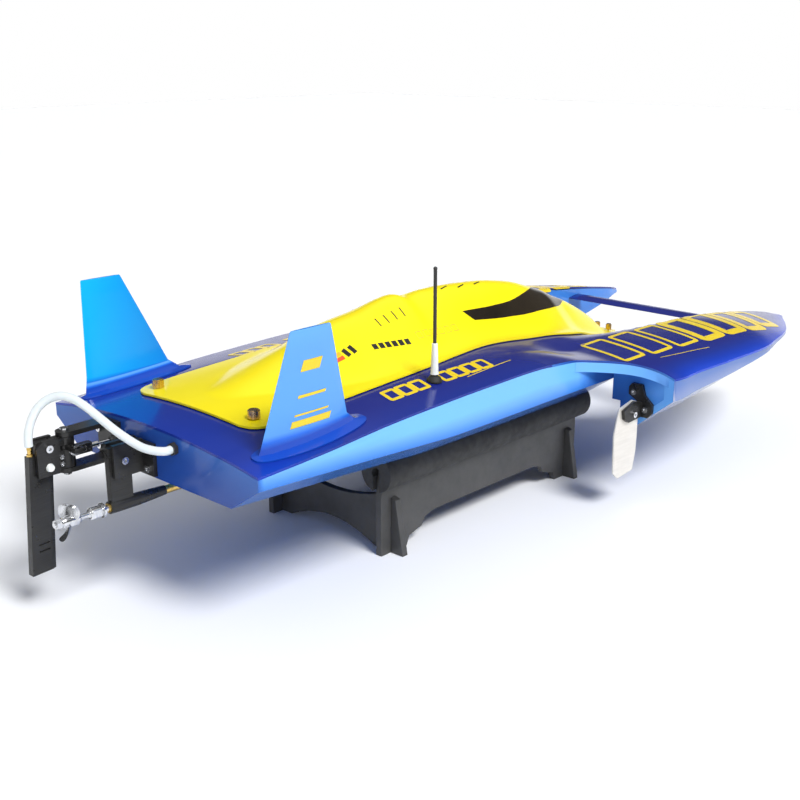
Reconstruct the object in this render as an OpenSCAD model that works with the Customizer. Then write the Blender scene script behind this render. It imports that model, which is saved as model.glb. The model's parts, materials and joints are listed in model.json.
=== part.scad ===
/* [Hull] */
// Length from the transom to the sponson tips
hull_l = 762; // [750:1:774]
// Width of the afterdeck at the deck edge
tail_w = 239; // [236:1:242]
// Beam over both sponsons
beam = 366; // [360:1:370]
// Distance from the transom to the flat backs of the sponsons
step_x = 410; // [408:1:412]
// Wall thickness of the lower hull mouldings
hull_t = 2; // [1.6:0.2:2.4]
// Thickness of the deck moulding
deck_t = 1.8; // [1.4:0.2:2.2]
// Thickness of the hatch cowl moulding
cowl_t = 1.5; // [1.2:0.1:1.8]

/* [Stand] */
// Length of the two long panels
stand_l = 264; // [256:2:270]
// Distance between the long panels
stand_w = 130; // [126:1:134]
// Thickness of every panel
panel_t = 6; // [5:0.5:6.5]
// Diameter of the foam tubes
foam_d = 32; // [31:0.5:32]

/* [Running gear] */
// Sideways offset of the propeller shaft to port
shaft_y = 8; // [7:0.5:9]
// Height of the propeller shaft above the floor
shaft_z = 80; // [79:0.5:81]
// Propeller diameter
prop_d = 37; // [34:1:40]
// Diameter of the flexible drive cable
cable_d = 3.2; // [3:0.2:3.6]
// Upward slope of the motor line
motor_slope = 8; // [7:0.5:9]

/* [Steering] */
// Sideways offset of the rudder to port
rudder_y = 45; // [44:0.5:46]
// Distance of the rudder pivot behind the transom
pivot_x = 38; // [37:0.5:39]
// Length of the steering arm and of the servo horn
arm_l = 14; // [13.5:0.5:14.5]
// Rudder blade chord
blade_l = 20; // [18:1:21]
// Height of the pushrod above the floor
rod_z = 120; // [119.5:0.5:120.5]

/* [Fins and antenna] */
// Height of the tail fins above the deck
fin_h = 84; // [80:1:88]
// Length of the antenna tube above the deck
antenna_l = 98; // [80:2:110]

/* [Hidden] */

gap = 0.1;          // glue gap between bonded mouldings
blade_reach = 36;   // rudder trailing edge behind the rudder pivot
x_shift = (hull_l - pivot_x - blade_reach) / 2;  // middle of the whole length

// ---------------------------------------------------------------- helpers
function mix(a, b, t) = a + (b - a) * t;
function clamp(t) = min(1, max(0, t));
function span(p, x, i = 0) = (i >= len(p) - 2 || x < p[i + 1][0]) ? i : span(p, x, i + 1);
function lean(p, i) =
    let (a = max(0, i - 1), b = min(len(p) - 1, i + 1))
    (p[b][1] - p[a][1]) / (p[b][0] - p[a][0]);
// Smooth curve through the points p = [[x, value], ...]
function curve(p, x) =
    let (
        i = span(p, x),
        w = p[i + 1][0] - p[i][0],
        t = clamp((x - p[i][0]) / w),
        t2 = t * t,
        t3 = t2 * t
    )
    p[i][1] * (2 * t3 - 3 * t2 + 1) + lean(p, i) * w * (t3 - 2 * t2 + t)
    + p[i + 1][1] * (3 * t2 - 2 * t3) + lean(p, i + 1) * w * (t3 - t2);

// Every module is drawn from the transom and then moved so the origin is under the middle
module place() {
    translate([-x_shift, 0, 0]) children();
}

// Closed solid through rings of points that all have the same count. Every ring runs clockwise
// seen from the last ring's side, and its first point can see all the others.
module loft(rings) {
    n = len(rings[0]);
    m = len(rings);
    points = [for (r = rings) for (q = r) q];
    sides = [
        for (i = [0:m - 2]) for (j = [0:n - 1])
            let (a = i * n + j, b = i * n + (j + 1) % n)
            for (f = [[a, b, b + n], [a, b + n, a + n]]) f
    ];
    caps = [
        for (j = [1:n - 2])
            for (f = [[0, j + 1, j], [(m - 1) * n, (m - 1) * n + j, (m - 1) * n + j + 1]]) f
    ];
    polyhedron(points = points, faces = concat(sides, caps), convexity = 8);
}

// Cap screw with a hex socket, head pointing along +Z, shank below z = 0
module cap_screw(d, l, head_h = 2.2) {
    difference() {
        union() {
            cylinder(d = d * 1.8, h = head_h, $fn = 32);
            translate([0, 0, -l]) cylinder(d = d, h = l + 0.1, $fn = 32);
        }
        translate([0, 0, head_h * 0.45]) cylinder(d = d * 0.95, h = head_h, $fn = 6);
    }
}

// Points at equal steps around a tube, square to its direction d
function ring_around(p, d, radius, sides) =
    let (
        t = d / norm(d),
        side = cross(t, abs(t[2]) > 0.9 ? [1, 0, 0] : [0, 0, 1]),
        u = side / norm(side),
        v = cross(t, u)
    )
    [for (k = [0:sides - 1]) p + radius * (u * cos(360 * k / sides) + v * sin(360 * k / sides))];

// Soft tube along a route of points
module hose(route, d, sides = 10) {
    last = len(route) - 1;
    loft([
        for (i = [0:last])
            ring_around(route[i], route[min(last, i + 1)] - route[max(0, i - 1)], d / 2, sides)
    ]);
}

// ---------------------------------------------------------------- hull form
tail_half = tail_w / 2;
flare = (beam - tail_w) / 2;
stretch = (hull_l - 600) / 162;
function sta(x) = x <= 600 ? x : 600 + (x - 600) * stretch;  // stations ahead of 600 follow the length
function table(t) = [for (q = t) [sta(q[0]), q[1]]];

// Deck heights: on the centreline, on the shoulder and at the outer edge
mid_z = [[0, 136.5], [60, 141], [120, 144.5], [180, 147], [240, 148], [300, 148], [345, 145],
         [410, 139], [450, 126], [480, 114], [540, 104], [600, 97]];
shoulder_z = table([[0, 132.3], [60, 136.5], [120, 140], [180, 142.8], [240, 144], [300, 143.5],
                    [340, 139], [380, 131.5], [410, 130.5], [460, 131], [540, 130], [580, 129.5],
                    [607, 128], [650, 123], [695, 116.5], [740, 109], [762, 103.5]]);
outer_z = table([[0, 127], [60, 130], [120, 134.5], [180, 137], [240, 138.5], [310, 138.5],
                 [340, 133], [380, 120], [410, 117.5], [500, 117], [560, 115.5], [610, 113],
                 [650, 110.5], [690, 107.5], [730, 104.5], [762, 102.5]]);
shoulder_y = table([[0, 80], [300, 80], [380, 90], [410, 85], [450, 76], [500, 82], [540, 87],
                    [600, 94], [700, 94], [735, 97], [762, 105]]);
roll = [[0, 1.3], [320, 1.3], [390, 3], [600, 2.5], [762, 1.5]];
// How far the planform runs out from the tail width towards the full beam
outline = table([[step_x, 0.955], [step_x + 12, 0.985], [450, 0.97], [500, 1], [573, 0.97],
                 [626, 0.78], [676, 0.55], [720, 0.22], [750, -0.05], [762, -0.15]]);
nose_x = 590;
front_x = 540;      // where the wing's leading edge meets the centre hull
wall_x = 600;       // where the leading edge meets the sponson walls

lip_x = step_x - 65;    // the deck starts to flare out here
function lip_run(x) = sqrt(max(0, 1 - pow((x - lip_x) / (step_x - lip_x), 2)));
function outer_y(x) =
    x <= lip_x ? tail_half
    : x < step_x ? tail_half + flare * 0.955 * (1 - lip_run(x))
    : tail_half + flare * curve(outline, x);
// Width that the deck's cross curve is drawn to, before the lip trims it
function full_y(x) =
    x <= 320 ? tail_half
    : x >= 380 ? tail_half + flare * (x < step_x ? 0.955 : curve(outline, x))
    : mix(tail_half, tail_half + flare * 0.955, (x - 320) / 60);

function deck_z(x, y) =
    let (
        a = abs(y),
        s = curve(shoulder_y, x),
        zs = curve(shoulder_z, x)
    )
    a <= s
        ? mix(curve(mid_z, x), zs, pow(a / s, 2))
        : mix(zs, curve(outer_z, x), pow(clamp((a - s) / (full_y(x) - s)), curve(roll, x)));

// ---------------------------------------------------------------- centre hull
chine_drop = [[0, 117], [60, 114], [110, 111.5], [155, 109], [200, 107], [step_x, 107],
              [480, 103], [front_x, 98], [nose_x, 95]];
keel_z = [[0, 98], [60, 95], [110, 92.5], [155, 90], [190, 88], [step_x, 88], [480, 88],
          [front_x, 90], [nose_x, 92]];
tub_y = [[0, tail_half], [step_x, tail_half], [430, 108], [480, 82], [front_x, 45],
         [565, 30], [nose_x, 12]];
function tub_side(x) = x <= step_x ? tail_half - gap : curve(tub_y, x);
function tub_bottom(x) = tub_side(x) * (x < step_x ? 0.762 : mix(0.762, 0.9, clamp((x - step_x) / 90)));

// Glue line under the deck, thicker ahead of the lip where the mouldings twist
seam = 0.3;
bow_seam = 1.5;
function seat(x) = mix(seam, bow_seam, clamp((x - 320) / 30));

function tub_ring(x, t) =
    let (
        s = tub_side(x) - t,
        b = tub_bottom(x) - t * 0.6,
        z0 = curve(keel_z, x) + t,
        z1 = curve(chine_drop, x) + t * 0.3
    )
    concat(
        [[x, 0, z0], [x, -b, z0], [x, -s, z1]],
        [for (k = [-4:4]) let (y = s * k / 4) [x, y, t > 0 ? 190 : deck_z(x, y) - deck_t - seat(x)]],
        [[x, s, z1], [x, b, z0]]
    );

tub_stations = [0, 30, 60, 85, 110, 130, 155, 172, 190, 240, 290, 320, 345, 370, step_x,
                430, 455, 480, 510, front_x, 565, nose_x];

cable_entry_x = 40; // the stuffing tube starts to bend here
bend_r = 300;       // radius of that bend
tube_d = 6.4;

// Everything on the bent shaft line: origin where the bend starts, +X forward
module shaft_line() {
    translate([cable_entry_x, shaft_y, shaft_z]) children();
}
// Frame at the end of the bend, +X along the motor line
module motor_line() {
    shaft_line()
        translate([bend_r * sin(motor_slope), 0, bend_r * (1 - cos(motor_slope))])
            rotate([0, -motor_slope, 0])
                children();
}
module bend(d) {
    shaft_line()
        translate([0, 0, bend_r])
            rotate([-90, 0, 0])
                rotate([0, 0, 90 - motor_slope])
                    rotate_extrude(angle = motor_slope, $fn = 180)
                        translate([bend_r, 0]) circle(d = d, $fn = 32);
}
module along_x(d, l) {
    rotate([0, 90, 0]) cylinder(d = d, h = l, $fn = 40);
}

module hull_tub() {
    color("royalblue")
        place()
            difference() {
                loft([for (x = tub_stations) tub_ring(x, 0)]);
                loft([
                    for (x = concat([hull_t], [for (s = tub_stations) if (s > 5 && s < nose_x - 5) s],
                                    [nose_x - hull_t * 3]))
                        tub_ring(x, hull_t)
                ]);
                // clear way for the stuffing tube through the bottom
                motor_line()
                    translate([-5, 0, 0]) along_x(tube_d + 0.6, 120);
                // pushrod, bellows and cooling water holes in the transom
                translate([-1, rudder_y - arm_l, rod_z]) along_x(8, hull_t + 2);
                translate([-1, outlet_y, outlet_z]) along_x(5, hull_t + 2);
                for (q = transom_screws)
                    translate([-1, q[0], q[1]]) along_x(3.2, hull_t + 2);
            }
}

// ---------------------------------------------------------------- sponsons
wall_y = [[step_x, 128.5], [440, 122], [500, 111], [560, 100], [wall_x, 95], [700, 95], [735, 98],
          [762, 105]];
roof_z = [[step_x, 88], [440, 90], [480, 94], [front_x, 101], [575, 108], [wall_x, 112], [762, 104]];
ride_z = [[step_x, 60.6], [500, 63.5], [560, 68.5], [620, 76], [680, 86], [720, 93], [745, 97],
          [762, 98]];
band = [[step_x, 18], [500, 12], [570, 6], [640, 2], [762, 1.2]];

// Lip that carries the deck out from the tub to the sponson's back
function lip_ring(x) =
    let (
        o = outer_y(x),
        i = tail_half,
        depth = 8.5
    )
    concat(
        [for (k = [0:6]) let (y = mix(o, i, k / 6)) [x, y, deck_z(x, y) - deck_t - seat(x) - depth]],
        [for (k = [0:6]) let (y = mix(i, o, k / 6)) [x, y, deck_z(x, y) - deck_t - seat(x)]]
    );

function sponson_ring(x, t = 0) =
    let (
        u = clamp((x - front_x) / (wall_x - front_x)),
        o = outer_y(x),
        w = curve(table(wall_y), x),
        top = t > 0 ? 12 : -deck_t - seat(x),
        i = x < front_x ? curve(tub_y, x) + gap : mix(45, 94, u) + (x > wall_x ? w - 95 : 0),
        z_low = curve(table(ride_z), x),
        z_edge = deck_z(x, o) - deck_t - seat(x),
        z_roof = x < wall_x ? curve(roof_z, x) : mix(z_low, z_edge, 0.4),
        z_in = deck_z(x, i) - deck_t - seat(x),
        z_rise = z_low + mix(9, 1, clamp((x - step_x) / 340)),
        chine_y = mix(w, o, mix(0.36, 0.6, clamp((x - step_x) / 340)))
    )
    [
        [x, w - 0.4 + t, z_roof + t],
        [x, i + t, z_roof + t],
        [x, i + t, mix(z_roof, z_in, 0.5) + t / 2],
        [x, i + t, deck_z(x, i) + top],
        [x, mix(o, i, 0.75), deck_z(x, mix(o, i, 0.75)) + top],
        [x, mix(o, i, 0.5), deck_z(x, mix(o, i, 0.5)) + top],
        [x, mix(o, i, 0.25), deck_z(x, mix(o, i, 0.25)) + top],
        [x, o - t, deck_z(x, o) + top],
        [x, o - t, z_edge - curve(table(band), x)],
        [x, chine_y, z_rise + t],
        [x, w + t, z_low + t],
    ];

sponson_stations = [step_x, step_x + 5, step_x + 12, 430, 455, 480, 510, front_x, 560, 580, 591, wall_x,
                    for (x = [625, 650, 675, 700, 722, 740, 753, 762]) sta(x)];
lip_stations = concat([for (k = [1:8]) lip_x + (step_x - lip_x) * sin(90 * k / 9)], [step_x, step_x + 3]);

module sponson() {
    difference() {
        loft([for (x = sponson_stations) sponson_ring(x)]);
        loft([
            for (x = concat([step_x + hull_t],
                            [for (s = sponson_stations) if (s > step_x + 10 && s < sta(735)) s]))
                sponson_ring(x, hull_t)
        ]);
    }
    loft([for (x = lip_stations) lip_ring(x)]);
}

module sponson_port() {
    color("royalblue") place() sponson();
}
module sponson_starboard() {
    color("royalblue") place() mirror([0, 1, 0]) sponson();
}

// ---------------------------------------------------------------- deck
hatch_back = 58;    // aft edge of the hatch opening
rim = 9;            // width of the cowl's seat on the deck
cowl_back = 37;
cowl_nose = 586;
cowl_y = [[cowl_back, 56], [40, 64], [46, 69.5], [56, 72], [118, 72], [176, 71], [215, 69],
          [258, 64], [320, 58], [390, 56.5], [430, 57], [460, 53], [500, 43], [540, 31], [570, 18],
          [cowl_nose, 8]];

function deck_in(x) =
    x < hatch_back ? 0
    : x <= front_x ? min(curve(cowl_y, x) - rim, (x - hatch_back) * 6 + 40)
    : x < wall_x ? mix(curve(cowl_y, front_x) - rim, 94, (x - front_x) / (wall_x - front_x))
    : curve(shoulder_y, x);
deck_steps = [0, 0.12, 0.25, 0.38, 0.5, 0.62, 0.73, 0.83, 0.92, 1];
deck_stations = concat(
    [0, 20, 40, hatch_back - 0.05, hatch_back, 64, 80, 110, 150, 190, 230, 270, 300, 325],
    [for (k = [0:8]) lip_x + (step_x - lip_x) * sin(90 * k / 9)],
    sponson_stations
);

// One half of the deck: rows of points from the inner edge to the outer edge
function deck_row(x, side, drop) = [
    for (t = deck_steps)
        let (y = mix(deck_in(x), outer_y(x), t))
        [x, side * y, deck_z(x, y) - drop]
];

module deck_half(side) {
    loft([
        for (x = deck_stations)
            let (top = deck_row(x, side, 0), low = deck_row(x, side, deck_t), n = len(top))
            side > 0
                ? concat(top, [for (k = [n - 1:-1:0]) low[k]])
                : concat(low, [for (k = [n - 1:-1:0]) top[k]])
    ]);
}

module deck() {
    color("midnightblue")
        place()
            difference() {
                union() {
                    deck_half(1);
                    deck_half(-1);
                }
                for (q = studs_rear)
                    translate([q[0], q[1], 120]) cylinder(d = 3.4, h = 40, $fn = 32);
                antenna_hole();
            }
}

// ---------------------------------------------------------------- cowl
lift = 0.9;         // clear space between the cowl's flange and the deck
ridge = [[60, 0], [85, 3], [110, 8], [145, 17.5], [179, 28], [215, 33], [250, 39.3], [266, 36.3],
         [290, 37.8], [340, 39.2], [367, 39], [397, 37], [425, 36], [468, 37], [494, 34],
         [521, 25.5], [540, 17], [557, 5.5], [568, 1], [cowl_nose, 0]];
// Sharpness of the cross-section: a wedge aft, a dome over the engine, a canopy forward
peak = [[60, 2.6], [110, 2.2], [150, 1.5], [200, 1.25], [300, 1.15], [400, 1.1], [500, 1.2],
        [cowl_nose, 1.5]];
seat_y = [[60, 14], [85, 26], [110, 42], [145, 58], [180, 66], [258, 62], [320, 57], [430, 55],
          [460, 51], [500, 41], [540, 29], [570, 17], [cowl_nose, 8]];

function cowl_h(x, y) =
    x <= 60 ? 0
    : let (s = clamp(abs(y) / curve(seat_y, x)))
      max(0, curve(ridge, x)) * pow(cos(90 * s), 2 / curve(peak, x) * 1.15);
function cowl_z(x, y) = deck_z(x, y) + lift + cowl_t + cowl_h(x, y);
cowl_steps = [-1, -0.92, -0.8, -0.66, -0.52, -0.39, -0.26, -0.13, 0,
              0.13, 0.26, 0.39, 0.52, 0.66, 0.8, 0.92, 1];
cowl_stations = [cowl_back, 39, 42, 47, 56, 66, 76, 86, 98, 110, 124, 138, 152, 166, 180, 196, 212, 228,
                 242, 252, 262, 275, 290, 310, 330, 350, 370, 390, 408, 424, 438, 450, 462, 476, 492,
                 508, 522, 536, 550, 562, 574, cowl_nose];

function cowl_ring(x) =
    let (w = curve(cowl_y, x), n = len(cowl_steps))
    concat(
        [for (t = cowl_steps) [x, t * w, cowl_z(x, t * w)]],
        [for (k = [n - 1:-1:0]) let (y = cowl_steps[k] * w) [x, y, cowl_z(x, y) - cowl_t]]
    );

// Studs and thumb nuts: [x, y]
studs_rear = [[51, 56], [51, -56]];
studs_front = [[574, 7], [574, -7]];
function stud_z(q) = cowl_z(q[0], q[1]);
// Highest point of the cowl under a nut of diameter d
function nut_seat(q, d) =
    max([for (k = [0:7]) cowl_z(q[0] + d / 2 * cos(45 * k), q[1] + d / 2 * sin(45 * k))]) + 0.35;

module hatch_cowl() {
    color("yellow")
        place()
            difference() {
                loft([for (x = cowl_stations) cowl_ring(x)]);
                for (q = studs_rear)
                    translate([q[0], q[1], 110]) cylinder(d = 4, h = 60, $fn = 32);
                for (q = studs_front)
                    translate([q[0], q[1], 90]) cylinder(d = 3, h = 40, $fn = 32);
            }
}

nose_block_z = curve(keel_z, 574) + hull_t + 1;
module stud(q, d, depth) {
    translate([q[0], q[1], stud_z(q) - cowl_t - lift - depth])
        cylinder(d = d, h = depth + cowl_t + lift + 4.5, $fn = 32);
}
module hatch_studs() {
    color("silver")
        place() {
            for (q = studs_rear) {
                stud(q, 3, 2);
                // backing block under the deck
                translate([q[0] - 5, q[1] - 5, deck_z(q[0] - 5, abs(q[1]) + 5) - deck_t - 6 - gap])
                    cube([10, 10, 4]);
            }
            for (q = studs_front)
                stud(q, 2, 5);
            // block that joins the tub's walls under the cowl's nose
            translate([studs_front[0][0] - 4, -16, nose_block_z]) cube([8, 32, 5]);
        }
}

module thumb_nut(q, d, h) {
    translate([q[0], q[1], nut_seat(q, d)])
        difference() {
            union() {
                cylinder(d = d, h = h, $fn = 48);
                translate([0, 0, h - 0.1]) cylinder(d = d * 0.8, h = 0.8, $fn = 48);
            }
            translate([0, 0, -1]) cylinder(d = d * 0.45, h = h + 0.4, $fn = 32);
            for (k = [0:11])
                rotate([0, 0, 30 * k])
                    translate([d / 2, 0, -1]) cylinder(d = 1, h = h + 3, $fn = 16);
        }
}
module thumb_nut_rear_port() {
    color("goldenrod") place() thumb_nut(studs_rear[0], 9, 5.5);
}
module thumb_nut_rear_starboard() {
    color("goldenrod") place() thumb_nut(studs_rear[1], 9, 5.5);
}
module thumb_nut_front_port() {
    color("goldenrod") place() thumb_nut(studs_front[0], 6, 5.5);
}
module thumb_nut_front_starboard() {
    color("goldenrod") place() thumb_nut(studs_front[1], 6, 5.5);
}

// ---------------------------------------------------------------- wing between the sponsons
wing_x = 655;
wing_z = 111.5;
wing_half = 93.1;  // just short of the sponsons' inner walls
module canard_wing() {
    color("midnightblue")
        place()
            translate([wing_x, wing_half, wing_z])
                rotate([90, 0, 0])
                    linear_extrude(height = 2 * wing_half)
                        polygon([
                            [-11, 0], [-6, 1], [0, 1.9], [7, 2.2], [11.5, 1.4], [13, 0],
                            [11.5, -1.2], [6, -1.7], [-3, -1], [-11, -0.5],
                        ]);
}

// ---------------------------------------------------------------- tail fins
fin_y = 101;
fin_cant = 0.225;
// Loop of points on a deck-following fin section
function fin_ring(h, x0, x1, half, e, on_deck) =
    let (
        n = 10,
        f = function(s, side)
            let (
                x = mix(x0, x1, s),
                y = fin_y + fin_cant * h + side * half * pow(sin(180 * s), e),
                z = on_deck ? deck_z(x, y) + h : deck_z(60, fin_y) + h
            )
            [x, y, z]
    )
    concat(
        [for (k = [0:n]) f(k / n, 1)],
        [for (k = [n - 1:-1:1]) f(k / n, -1)]
    );

module fin() {
    loft([
        fin_ring(gap, 12, 114, 13, 0.35, true),
        fin_ring(1.2, 12, 114, 13, 0.35, true),
        fin_ring(1.8, 14, 110, 10, 0.4, true),
        fin_ring(2.6, 16, 104, 5.5, 0.5, true),
        fin_ring(6, 17, 100, 3.6, 0.55, true),
        fin_ring(12, 19, 95, 2.8, 0.6, false),
        fin_ring(fin_h - 1, 30, 66, 1.7, 0.5, false),
        fin_ring(fin_h, 30.5, 65, 1.2, 0.5, false),
    ]);
}
module fin_port() {
    color("dodgerblue") place() fin();
}
module fin_starboard() {
    color("dodgerblue") place() mirror([0, 1, 0]) fin();
}

// ---------------------------------------------------------------- antenna
antenna_x = 203;
antenna_y = -90;
antenna_z = deck_z(antenna_x, antenna_y);

antenna_tilt = atan((deck_z(antenna_x, antenna_y + 6) - deck_z(antenna_x, antenna_y - 6)) / 12);
// Children square to the deck where the antenna stands
module on_antenna_seat() {
    translate([antenna_x, antenna_y, antenna_z]) rotate([antenna_tilt, 0, 0]) children();
}
module antenna_hole() {
    on_antenna_seat() translate([0, 0, -8]) cylinder(d = 8.8, h = 20, $fn = 32);
}
module antenna_grommet() {
    color("black")
        place()
            on_antenna_seat()
                rotate_extrude($fn = 48)
                    polygon([[2.3, -2.4], [4.2, -2.4], [4.2, 0.5], [6, 0.5], [6, 1.5], [4.6, 3.8],
                             [2.3, 5.2]]);
}
module antenna_sleeve() {
    color("white")
        place()
            translate([antenna_x, antenna_y, antenna_z + 6.1])
                rotate_extrude($fn = 48)
                    polygon([[1.5, 0], [3.4, 0], [3.1, 2], [2.2, 24], [1.5, 24.5]]);
}
module antenna_tube() {
    color("black")
        place()
            translate([antenna_x, antenna_y, antenna_z - 8]) {
                cylinder(d = 2.8, h = antenna_l - 2, $fn = 32);
                translate([0, 0, antenna_l - 2]) sphere(d = 3.2, $fn = 32);
            }
}

// ---------------------------------------------------------------- turn fin
fin_face_x = step_x - gap;
turn_y = -152;      // outboard face of the bracket's clamp leg
leg_t = 3;
turn_blade_t = 1.6;
turn_screws = [[-144, 100], [-156, 86]];
clamp_x = fin_face_x - 16;
clamp_z = 84;
module clamp_hole() {
    translate([clamp_x, turn_y + 10, clamp_z]) rotate([90, 0, 0]) cylinder(d = 3.2, h = 20, $fn = 32);
}

module turn_fin_bracket() {
    color([0.12, 0.12, 0.13])
        place() {
            difference() {
                union() {
                    // plate on the sponson's back
                    translate([fin_face_x - leg_t, 0, 0])
                        rotate([90, 0, 90])
                            linear_extrude(height = leg_t)
                                polygon([[-138, 97], [-138, 104], [-141, 107.5], [-151, 107.5],
                                         [-154, 98], [-162, 91], [-162, 83], [-158, 78.5],
                                         [-148, 78.5], [-147, 92]]);
                    // clamp leg that runs aft
                    translate([fin_face_x, turn_y + leg_t, 0])
                        rotate([90, 0, 0])
                            linear_extrude(height = leg_t)
                                polygon([[-31, 90], [-29, 82], [-23, 78], [-1.5, 79], [-1.5, 92],
                                         [-14, 95]]);
                }
                for (q = turn_screws)
                    translate([fin_face_x - leg_t - 1, q[0], q[1]]) along_x(3.2, leg_t + 2);
                clamp_hole();
            }
        }
}
module turn_fin_blade() {
    color("gainsboro")
        place()
            difference() {
                translate([fin_face_x, turn_y + leg_t + gap + turn_blade_t, 0])
                    rotate([90, 0, 0])
                        linear_extrude(height = turn_blade_t)
                            polygon([[-34, 92], [-14, 96], [-leg_t - 0.3, 92],
                                     [-leg_t - 0.3, 60], [-4, 46],
                                     [-8, 30], [-31, 28], [-38, 34], [-40, 69]]);
                clamp_hole();
            }
}
module turn_fin_screws() {
    color("silver")
        place() {
            for (q = turn_screws)
                translate([fin_face_x - leg_t, q[0], q[1]]) rotate([0, -90, 0]) cap_screw(3, leg_t - 0.2);
            translate([clamp_x, turn_y, clamp_z])
                rotate([90, 0, 0]) cap_screw(3, leg_t + turn_blade_t);
        }
}

// ---------------------------------------------------------------- strut and propeller shaft
strut_x = 30;       // aft end of the strut barrel behind the transom
plate_t = 3;
transom_screws = [[shaft_y - 12, 105], [shaft_y + 13, 105], [shaft_y - 12, 119], [shaft_y + 13, 119],
                  [rudder_y - 10, 109], [rudder_y + 10, 109], [rudder_y + 10, 122], [rudder_y - 10, 127]];

module screw_pair(from, to) {
    for (k = [from:to])
        translate([-plate_t - gap, transom_screws[k][0], transom_screws[k][1]])
            rotate([0, -90, 0]) cap_screw(3, plate_t + hull_t + 3);
}

module strut_bracket() {
    color([0.13, 0.13, 0.14])
        place()
            difference() {
                union() {
                    translate([-plate_t - gap, shaft_y - 18, 100]) cube([plate_t, 36, 24]);
                    for (s = [-1, 1])
                        translate([-27, shaft_y + s * 4.3 - 1.6, 102]) cube([24.5, 3.2, 24]);
                }
                for (k = [0:3])
                    translate([-plate_t - 1, transom_screws[k][0], transom_screws[k][1]])
                        along_x(3.2, plate_t + 2);
                translate([-19, shaft_y - 10, 114])
                    rotate([-90, 0, 0]) cylinder(d = 3.2, h = 20, $fn = 32);
            }
}
module strut() {
    color([0.16, 0.16, 0.17])
        place()
            difference() {
                union() {
                    // flat stem between the bracket's cheeks
                    translate([-strut_x + 1, shaft_y - 2.6, shaft_z]) cube([18, 5.2, 44]);
                    translate([-strut_x, shaft_y, shaft_z])
                        rotate([0, 90, 0])
                            rotate_extrude($fn = 64)
                                polygon([[0, 0], [4.6, 0], [4.8, 6], [4.8, 24], [4.1, 38], [3.6, 47],
                                         [0, 47]]);
                }
                translate([-strut_x - 1, shaft_y, shaft_z]) along_x(6.6, 60);
                translate([-19, shaft_y - 10, 114])
                    rotate([-90, 0, 0]) cylinder(d = 3.2, h = 20, $fn = 32);
            }
}
module strut_bushing() {
    color("darkgoldenrod")
        place()
            difference() {
                translate([-strut_x - 1.2, shaft_y, shaft_z]) along_x(6.55, 26);
                translate([-strut_x - 2, shaft_y, shaft_z]) along_x(cable_d + 1.86, 40);
            }
}
module strut_screws() {
    color("silver")
        place() {
            screw_pair(0, 3);
            translate([-19, shaft_y - 5.9, 114]) rotate([90, 0, 0]) cap_screw(3, 12);
        }
}
// Round bar of diameter d along the shaft line: straight, bent, straight up the motor line.
// The bend is a hair thicker, so the straight ends finish inside it.
module bent_bar(d, from, to) {
    shaft_line()
        translate([from - cable_entry_x, 0, 0]) along_x(d, cable_entry_x - from + 1);
    bend(d + 0.1);
    motor_line()
        translate([-1, 0, 0]) along_x(d, to + 1);
}
module stuffing_tube() {
    color("darkgoldenrod")
        place()
            difference() {
                bent_bar(tube_d, -3, 135);
                bent_bar(tube_d - 1, -5, 140);
            }
}
// The drive cable's turning is round its own bent centreline, so its shape stays put
module flex_cable() {
    color("dimgray")
        place()
            bent_bar(cable_d, -2, motor_gap - 21);
}

motor_gap = 186;    // from the bend to the motor's front face
// Stub shaft and split collar, one turned piece
module drive_dog() {
    color("silver")
        place()
            difference() {
                union() {
                    translate([-73.5, shaft_y, shaft_z]) along_x(4, 30);
                    translate([-47, shaft_y, shaft_z]) along_x(cable_d + 1.7, 44.5);
                    translate([-46, shaft_y, shaft_z])
                        rotate([0, 90, 0])
                            rotate_extrude($fn = 48)
                                polygon([[0, 0], [3.6, 0], [4.4, 1], [4.4, 8.5], [3.6, 9.5],
                                         [5.4, 9.6], [5.4, 11], [0, 11]]);
                }
                // two flats and the clamping slot of the collar
                for (s = [-1, 1])
                    translate([-45, shaft_y + s * 3.6 - (s < 0 ? 2 : 0), shaft_z - 6]) cube([7, 2, 12]);
                translate([-45, shaft_y - 0.4, shaft_z + 2.2]) cube([7, 0.8, 4]);
            }
}
module blade_shape() {
    // One blade: a swept lobe with pitch, thin towards its edge
    n = 7;
    loft([
        for (k = [0:n])
            let (
                r = mix(3, prop_d / 2, k / n),
                w = 11 * sin(mix(40, 172, k / n)) + 0.6,
                pitch = mix(62, 34, k / n),
                rake = -k * 0.45,
                th = mix(1.3, 0.45, k / n),
                turn = mix(-10, 28, k / n)
            )
            [
                for (q = [[-w, 0], [-w * 0.5, -th * 0.6], [0, -th * 0.7], [w * 0.5, -th * 0.5],
                          [w, 0.1], [w * 0.5, th * 0.5], [0, th * 0.7], [-w * 0.5, th * 0.5]])
                    let (
                        a = q[0] * cos(pitch) - q[1] * sin(pitch),
                        b = q[0] * sin(pitch) + q[1] * cos(pitch),
                        phi = turn + b / r * 57.3 * 0.8
                    )
                    [a * 0.62 + rake, r * cos(phi), r * sin(phi)]
            ]
    ]);
}
prop_x = -61;
module propeller() {
    color("silver")
        place()
            translate([prop_x, shaft_y, shaft_z])
                difference() {
                    union() {
                        rotate([0, 90, 0])
                            translate([0, 0, -7])
                                rotate_extrude($fn = 48)
                                    polygon([[0, 0], [3.6, 0], [4.3, 3], [4.4, 12], [3.6, 14], [0, 14]]);
                        for (s = [0, 180])
                            rotate([s + 96, 0, 0]) blade_shape();
                    }
                    translate([-10, 0, 0]) along_x(4.1, 20);
                }
}
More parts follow.
